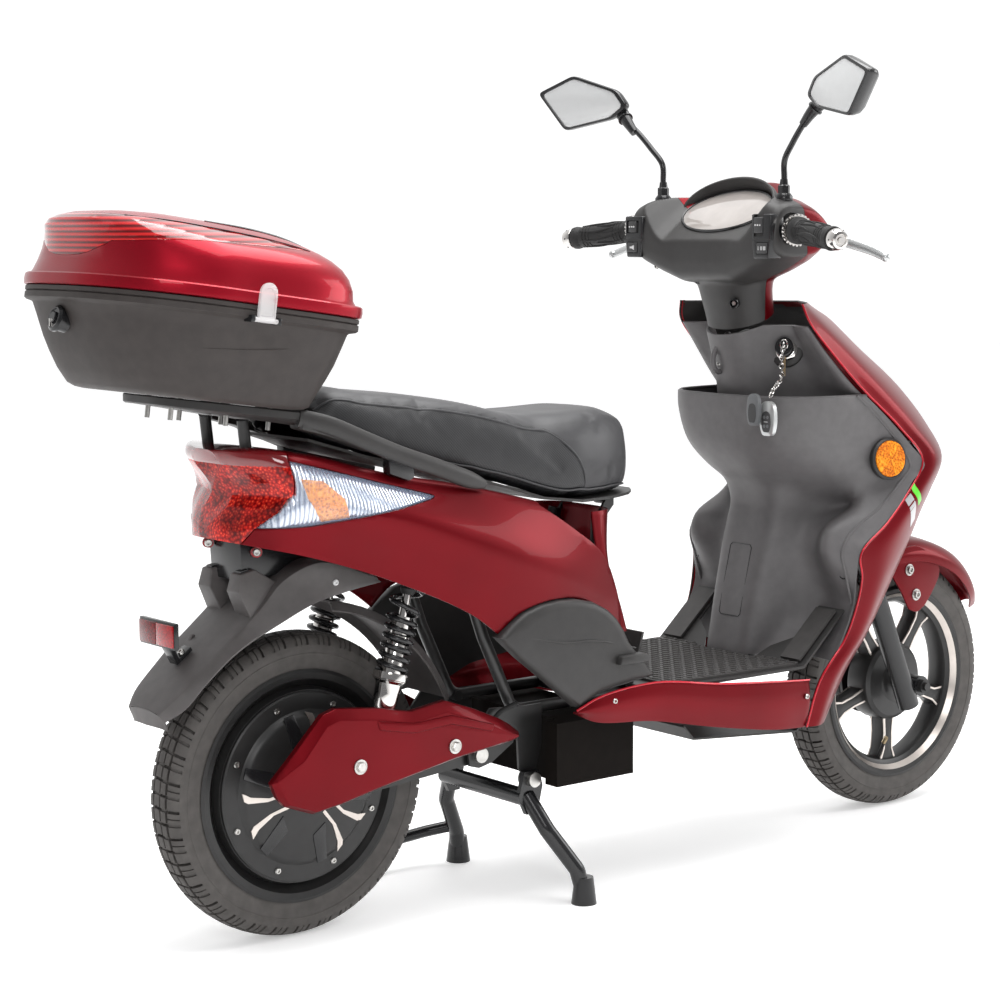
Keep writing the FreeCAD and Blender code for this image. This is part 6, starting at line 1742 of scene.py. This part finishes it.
def seat():
    """Padded seat: a slightly small form is inflated as cloth, then covered, sewn and piped."""
    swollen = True
    grid = seat_grid(5.0 if swollen else 0.0)
    cushion = face_outwards(surface("seat_foam", grid, VINYL, caps=False))
    mesh = bmesh.new()
    mesh.from_mesh(cushion.data)
    bmesh.ops.holes_fill(mesh, edges=[e for e in mesh.edges if e.is_boundary])
    bmesh.ops.recalc_face_normals(mesh, faces=mesh.faces)
    mesh.to_mesh(cushion.data)
    mesh.free()
    if swollen:
        change = cushion.modifiers.new("melt", "REMESH")
        change.mode, change.voxel_size = "VOXEL", 6 * MM
        settle(cushion, 60)
        start = [v.co.copy() for v in cushion.data.vertices]
        cloth = cushion.modifiers.new("cloth", "CLOTH")
        cloth.settings.use_pressure = True
        cloth.settings.uniform_pressure_force = 4
        cloth.settings.quality = 5
        cloth.settings.effector_weights.gravity = 0
        scene = bpy.context.scene
        for number in range(1, 21):
            scene.frame_set(number)
        settle(cushion, 60)
        scene.frame_set(1)
        cap = 7 * MM
        for vertex, rest in zip(cushion.data.vertices, start):
            move = vertex.co - rest
            if move.length > cap:
                vertex.co = rest + move.normalized() * cap
    finer = cushion.modifiers.new("finer", "SUBSURF")
    finer.levels = finer.render_levels = 1
    settle(cushion, 60)
    tree = BVHTree.FromObject(cushion, bpy.context.evaluated_depsgraph_get())
    # the woven side cover lies below and behind the piping
    cushion.data.materials.append(VINYL_SIDE)
    line = piping_line(RIGHT)
    for face in cushion.data.polygons:
        centre = face.center / MM
        x, z = centre.x + REAR_AXLE_X, centre.z
        near = min(line[:17], key=lambda p: abs(p.x - x))
        ahead = read([(p.z, p.x) for p in reversed(line[16:])], z) if z < line[16].z else line[16].x
        if x < ahead and z < near.z and face.normal.z < 0.75:
            face.material_index = 1
    parts = []
    for side in (RIGHT, LEFT):
        seam = []
        for p in piping_line(side):
            spot = world(p)
            near = tree.find_nearest(spot)[0]
            seam.append(V(near.x / MM + REAR_AXLE_X, near.y / MM, near.z / MM))
        parts.append(pipe("piping", seam, 1.7, VINYL, sides=8))
        hem = []
        for x in range(-4, 588, 22):
            near = tree.find_nearest(world(seat_section(x)[1] * 1.0 if side < 0 else V(x, -seat_section(x)[1].y,
                                                                                     seat_section(x)[1].z)))[0]
            hem.append(V(near.x / MM + REAR_AXLE_X, near.y / MM, near.z / MM - 4))
        parts.append(pipe("hem", hem, 1.6, VINYL, sides=8))
    sewn = settle(join("seat_piping", parts), 60)
    cushion.name = "seat_cover"
    ride(cushion, "seat", "seat_cushion", slot="vinyl")
    ride(sewn, "seat", slot="vinyl")


seat()


# ---------------------------------------------------------------- fork, mudguard, swingarm, dampers and keys
def front_fender():
    """Arched guard over the tyre with a bolted cheek beside each leg."""
    rows = []
    for turn, half in ((118, 50), (108, 54), (96, 58), (80, 60), (62, 58), (48, 50), (36, 36), (28, 16)):
        reach, drop = 237, 24 * half / 60
        section = [(reach - drop - 4, half), (reach - drop + 10, half * 0.99), (reach + 2, half * 0.78),
                   (reach + 8, half * 0.4), (reach + 10, 0)]
        right = [polar(FRONT_AXLE, turn, r, -y) for r, y in section]
        rows.append(right + [V(p.x, -p.y, p.z) for p in reversed(right[:-1])])
    arch = settle(round_edges(thicken(surface("arch", patch(rows, 5, 6), RED), 3), 0.8), 35)
    parts = [arch]
    x, z = 1217, 215
    cheek = [(-66, 212), (-40, 226), (10, 236), (50, 216), (72, 188), (52, 150), (34, 130), (16, 122),
             (-4, 128),
             (-24, 160)]
    for side in (RIGHT, LEFT):
        low, high = sorted((side * 56.5, side * 60.5))
        outline = flat_spline([(x + a, z + b) for a, b in cheek], 4, (0, 6, 8))
        parts.append(settle(round_edges(prism(outline, low, high, "Y", RED), 1.2, 3), 35))
        for dx, dz in ((-6, 196), (12, 152)):
            parts.append(settle(lathe("washer", [(0.01, 0), (10, 0), (10, 1.6), (0.01, 1.6)],
                                      V(x + dx, side * 60.4, z + dz),
                                      V(0, side, 0), ZINC, 28), 30))
            parts.append(screw(V(x + dx, side * 62, z + dz), V(0, side, 0), 7, ZINC, 4.4))
    ride(settle(join("front_guard", parts), 35), "fork_lower", "front_fender", slot="red_panel")


def swingarm_cover(side):
    edge = [(-106, 249), (-97, 228), (-84, 214), (-41, 198), (5, 204), (69, 217), (202, 240), (300, 251),
            (316, 254),
            (318, 263), (300, 277), (281, 288), (235, 308), (185, 326), (126, 318), (100, 323), (75, 329),
            (36, 334),
            (-2, 338), (-23, 332), (-64, 290)]
    top_from = 9
    outer, inner = [], []
    for i, (x, z) in enumerate(edge):
        top = i >= top_from
        outer.append((x, z))
        inner.append((x + (6 if x < 0 else -5) * (1 if i in (0, 1, 20, 8, 9) else 0.4),
                      z - min(15, (z - 257) * 0.6) if top else z + 4))
    loops = [[V(x, side * y, z) for x, z in line] for y, line in ((107, outer), (114, outer), (117, outer),
                                                                   (124.6, inner))]
    shell = surface("shell", loops, RED, closed=True, caps=True)
    parts = [settle(round_edges(face_outwards(shell), 2.2, 4, 20), 30)]
    ridge = prism([(62, 314), (126, 303), (190, 306), (268, 282), (262, 272), (190, 292), (126, 288),
                   (66, 300)],
                  *sorted((side * 116, side * 127)), "Y", RED)
    parts.append(settle(round_edges(ridge, 3, 4, 20), 30))
    for x, z in ((33, 254), (196, 260)):
        parts.append(settle(lathe("washer", [(0.01, 0), (10.5, 0), (10.5, 2), (0.01, 2)], V(x, side * 124.4, z),
                                  V(0, side, 0), ZINC, 28), 30))
        parts.append(settle(lathe("bolt", [(0.01, 0), (7.2, 0), (7.2, 4), (6, 5), (0.01, 5)],
                                  V(x, side * 126.4, z),
                                  V(0, side, 0), ZINC, 6), 30))
    return settle(join(("right" if side < 0 else "left") + "_arm_cover", parts), 32)


def shock_line(distance, y=0.0):
    top, foot = V(155, 0, 540), V(90, 0, 300)
    return top + (foot - top).normalized() * distance + V(0, y, 0)


def dampers():
    """Coils that open out towards the top, with chrome tubes, clevises and a rubber stop."""
    for side, hand in ((RIGHT, "right"), (LEFT, "left")):
        y = side * 92
        axis = (shock_line(100) - shock_line(0)).normalized()
        u, w = frame_along(axis)
        line, turn = [], 0.0
        steps = 300
        for k in range(steps + 1):
            t = k / steps
            distance = 35 + 139 * t
            line.append(shock_line(distance, y) + (u * math.cos(turn) + w * math.sin(turn)) * 20)
            gap = 30 if t < 0.42 else 13.0
            closed = t < 0.03 or t > 0.97
            turn += math.tau * (139 / steps) / (8 if closed else gap)
        coil = settle(pipe(f"{hand}_coil", line, 3.6, GLOSS_BLACK, smooth=False, sides=10), 60)
        if side == RIGHT:
            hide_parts("shock_springs")
        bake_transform(coil)
        cap = lathe("cap", [(6.2, 20), (14, 20), (24, 26), (24.5, 30), (24.5, 33), (20, 34), (6.2, 34)],
                    shock_line(0, y), axis,
                    GLOSS_BLACK, 40)
        stop = lathe("stop", [(6.2, 34), (11, 34), (13, 44), (9, 50), (12, 56), (8, 64), (6.2, 64)],
                     shock_line(0, y), axis,
                     RUBBER, 32)
        ride(settle(join(f"{hand}_damper_top", [settle(cap, 30), settle(stop, 40)]), 35), "shock_top",
             slot="black_steel")
        body = lathe("body", [(13.2, 120), (14.6, 122), (14.6, 176), (13.1, 177)], shock_line(0, y), axis,
                     CHROME, 40)
        ring_piece = lathe("seat_ring",
                           [(13.1, 174.5), (24.5, 174.5), (25, 178), (25, 184), (19, 190), (17.5, 204),
                                         (17.5, 222), (14, 228), (13.1, 228)], shock_line(0, y), axis, CHROME,
                                         40)
        bolt = lathe("eye_bolt", [(0.01, 9.2), (10, 9.2), (10, 15), (8.6, 16.4), (0.01, 16.4)],
                     V(90, y, 300), V(0, side, 0), ZINC, 6)
        ride(settle(join(f"{hand}_damper_body", [settle(body, 30), settle(ring_piece, 30), settle(bolt, 30)]),
                    35),
             "shock_bottom", slot="chrome")


def keys():
    bezel = lathe("bezel", [(12.9, 1), (18, 1), (18.6, 3), (17, 6.4), (14.6, 8), (13.4, 8), (12.9, 6.5)],
                  LOCK, LOCK_OUT,
                  CHROME, 48)
    collar = lathe("collar", [(14, -6), (27, -6), (26, -1), (22, 1.2), (14, 1.2)], LOCK, LOCK_OUT, PLASTIC, 48)
    ride(settle(join("lock_bezel", [settle(bezel, 30), settle(collar, 40)]), 35), "chassis", slot="chrome")
    bow = lathe("bow", [(0.01, 14), (13, 14), (14.4, 15.5), (14.4, 19.5), (13, 21), (8, 21), (7.4, 20.2),
                        (0.01, 20.2)],
                LOCK, LOCK_OUT, GLOSS_BLACK, 40, 0, (1.0, 1.08))
    foot = LOCK + LOCK_OUT * 17.5
    blade = pipe("blade", [foot - V(0, 0, 12), foot - V(0, 0, 46)], 3.6, BRASSY, smooth=False, sides=4,
                 flat=(1, 0.4))
    shank = lathe("shank", [(0.01, -14), (4.6, -14), (4.6, 14.5), (0.01, 14.5)], LOCK, LOCK_OUT, ZINC, 20)
    ride(settle(join("key_shell", [settle(bow, 35), blade, shank]), 35), "key", "ignition_key",
         slot="zinc_steel")
    # a short chain of split rings, the remote and the second fob
    hang = LOCK + LOCK_OUT * 27 + V(0, -2, 4)
    route = spline([hang, V(860, -102, 776), V(846, -116, 752), V(824, -122, 738), V(813, -123, 722)], 6)
    parts = []
    walk = [route[0]]
    for a, b in zip(route, route[1:]):
        walk += [a.lerp(b, k / 4) for k in range(1, 5)]
    link_at, last = [], None
    for p in walk:
        if last is None or (p - last).length > 7.2:
            link_at.append(p)
            last = p
    for i, (a, b) in enumerate(zip(link_at, link_at[1:])):
        run = (b - a).normalized()
        u, w = frame_along(run)
        flat_way = u if i % 2 else w
        middle = (a + b) / 2
        oval_line = [middle + run * math.cos(t) * 5.6 + flat_way * math.sin(t) * 3.4
                     for t in [math.tau * k / 14 for k in range(14)]]
        parts.append(pipe("link", oval_line, 0.95, CHROME, smooth=False, closed=True, sides=8))
    ring_line = [hang + V(-0.2, math.cos(t) * 8,
                          math.sin(t) * 8 - 3) for t in [math.tau * k / 24 for k in range(24)]]
    parts.append(pipe("split_ring", ring_line, 1.1, CHROME, smooth=False, closed=True, sides=8))
    for name, foot, high, wide, deep, skin, inset in (("remote", V(811, -123.5, 692), 27, 15.5, 5, SILVER,
                                                       GREY_BLACK),
                                                      ("tag", V(800, -103, 705), 25, 13, 4.4, GREY,
                                                       GREY_BLACK)):
        outline = [(0, high), (wide * 0.7, high * 0.85), (wide, high * 0.35), (wide * 0.96, -high * 0.5),
                   (wide * 0.6, -high * 0.95), (0, -high)]
        shape = [(p.x, p.y) for p in spline([V(a, b, 0) for a,
                                             b in outline + [(-a, b) for a, b in reversed(outline[1:-1])]],
                                            5, closed=True)]
        loops = [[foot + V(dx, y * s, z * s) for y, z in shape] for dx,
                 s in ((deep, 0.86), (deep * 0.7, 1), (-deep * 0.7, 1),
                                                                               (-deep, 0.84))]
        parts.append(settle(face_outwards(surface(name, loops, skin, closed=True, caps=True)), 40))
        face = [[foot + V(dx, y * s, z * s - 5) for y, z in shape] for dx,
                s in ((-deep + 0.5, 0.62), (-deep - 0.7, 0.6))]
        parts.append(settle(face_outwards(surface("pad", face, inset, closed=True, caps=True)), 40))
        if name == "remote":
            for y, z in ((-3.6, 2), (3.6, 2), (-3.6, -12), (3.6, -12)):
                parts.append(lathe("button", [(0.01, 0), (2.6, 0), (2.4, 1), (0.01, 1.1)],
                                   foot + V(-deep - 0.4, y, z),
                                   V(-1, 0, 0), GREY, 16))
            parts.append(prism([(foot.y - 4, foot.z - 5.7), (foot.y + 4, foot.z - 5.7),
                                (foot.y + 4, foot.z - 4.7),
                                (foot.y - 4, foot.z - 4.7)], foot.x - deep - 1.1, foot.x - deep, "X", PALE))
    ride(settle(join("key_ring", parts), 40), "key_fobs", "key_fobs", slot="silver_plastic")


front_fender()
right_cover, left_cover = swingarm_cover(RIGHT), swingarm_cover(LEFT)
ride(right_cover, "swingarm", "swingarm_covers", slot="red_panel")
ride(left_cover, "swingarm", slot="red_panel")
dampers()
keys()


# ---------------------------------------------------------------- finishes of the CAD parts that show as they are
def dress():
    finishes = {
        "main_frame": STEEL_BLACK, "frame_bolts": ZINC, "fork_stem": STEEL_BLACK, "fork_legs": GLOSS_BLACK,
        "front_axle": CAST, "swingarm": STEEL_BLACK, "center_stand": GLOSS_BLACK, "battery_box": CASE_BLACK,
        "belly_pan": PLASTIC, "footboard": PLASTIC, "floor_mat": MAT_RUBBER, "shock_rods": CHROME,
        "shock_cylinders": CHROME, "shock_springs": STEEL_BLACK, "handlebar": STEEL_BLACK,
        "motor_cable": RUBBER,
        "seat_base": PLASTIC, "mirror_stalks": STEEL_BLACK, "ignition_lock": CHROME, "ignition_key": ZINC,
        "left_brake_lever": SILVER, "right_brake_lever": SILVER, "left_grip": RUBBER, "throttle_grip": RUBBER,
        "left_mirror": GLOSS_BLACK, "right_mirror": GLOSS_BLACK, "seat_cushion": VINYL, "box_base": BOX_BLACK,
        "box_lid": RED, "box_lens": BOX_RED, "front_apron": RED, "right_leg_panel": RED, "left_leg_panel": RED,
        "front_fender": RED, "swingarm_covers": RED, "cockpit_lenses": DASH, "key_fobs": SILVER,
        "right_box_latch": CLEAR_LATCH, "left_box_latch": CLEAR_LATCH, "front_bar_cover": RED,
    }
    for name, node in frame["nodes"].items():
        node.data.materials.clear()
        node.data.materials.append(finishes.get(name, PLASTIC))


dress()


# ---------------------------------------------------------------- studio and camera
def studio():
    scene = bpy.context.scene
    scene.view_settings.view_transform = "Standard"
    sky = bpy.data.worlds.new("studio")
    scene.world = sky
    sky.use_nodes = True
    tree = sky.node_tree
    background = next(n for n in tree.nodes if n.type == "BACKGROUND")
    where = tree.nodes.new("ShaderNodeTexCoord")
    turn = tree.nodes.new("ShaderNodeVectorMath")
    turn.operation = "DOT_PRODUCT"
    turn.inputs[1].default_value = (0.62, 0.78, 0.0)
    tree.links.new(where.outputs["Generated"], turn.inputs[0])
    shade = tree.nodes.new("ShaderNodeValToRGB")
    shade.color_ramp.elements[0].position, shade.color_ramp.elements[0].color = 0.15, (0.24, 0.24, 0.245, 1)
    shade.color_ramp.elements[1].position, shade.color_ramp.elements[1].color = 0.80, (1.12, 1.12, 1.12, 1)
    reach = tree.nodes.new("ShaderNodeMapRange")
    reach.inputs["From Min"].default_value = -1
    tree.links.new(turn.outputs["Value"], reach.inputs["Value"])
    tree.links.new(reach.outputs["Result"], shade.inputs["Fac"])
    tree.links.new(shade.outputs["Color"], background.inputs["Color"])
    background.inputs["Strength"].default_value = 1.0

    def softbox(name, spot, aim, width, height, power):
        light = bpy.data.lights.new(name, "AREA")
        light.shape, light.size, light.size_y, light.energy = "RECTANGLE", width, height, power
        thing = bpy.data.objects.new(name, light)
        scene.collection.objects.link(thing)
        thing.location = spot
        thing.rotation_mode = "QUATERNION"
        thing.rotation_quaternion = (Vector(aim) - Vector(spot)).to_track_quat("-Z", "Y")

    softbox("overhead", (0.3, -0.2, 3.2), (0, 0, 0.4), 3.2, 2.2, 125)
    softbox("key", (-2.6, -3.2, 2.4), (0, 0, 0.6), 1.6, 1.2, 42)
    softbox("front_fill", (3.2, -1.6, 1.7), (0.4, 0, 0.6), 1.6, 1.6, 40)
    data = bpy.data.meshes.new("studio_floor")
    reach_out = 14.0
    data.from_pydata([(-reach_out, -reach_out, 0), (reach_out, -reach_out, 0), (reach_out, reach_out, 0),
                      (-reach_out, reach_out, 0)], [], [(0, 1, 2, 3)])
    floor = bpy.data.objects.new("studio_floor", data)
    scene.collection.objects.link(floor)
    paper = finish_of("studio_paper", (0.94, 0.94, 0.94), 0.9, spec=0.1)
    paper.shader.inputs["Emission Color"].default_value = (1, 1, 1, 1)
    paper.shader.inputs["Emission Strength"].default_value = 0.34
    data.materials.append(paper.material)


def camera():
    scene = bpy.context.scene
    eye, aim, roll = Vector((-2.3273, -2.7300, 0.9856)), Vector((-0.1627, 0, 0.5982)), -0.0025
    lens = bpy.data.cameras.new("camera")
    lens.lens, lens.sensor_width = 85.08, 36
    thing = bpy.data.objects.new("camera", lens)
    scene.collection.objects.link(thing)
    thing.location = eye
    thing.rotation_mode = "QUATERNION"
    thing.rotation_quaternion = (aim - eye).to_track_quat("-Z", "Y") @ Matrix.Rotation(roll, 4,
                                                                                       "Z").to_quaternion()
    scene.camera = thing


studio()
camera()
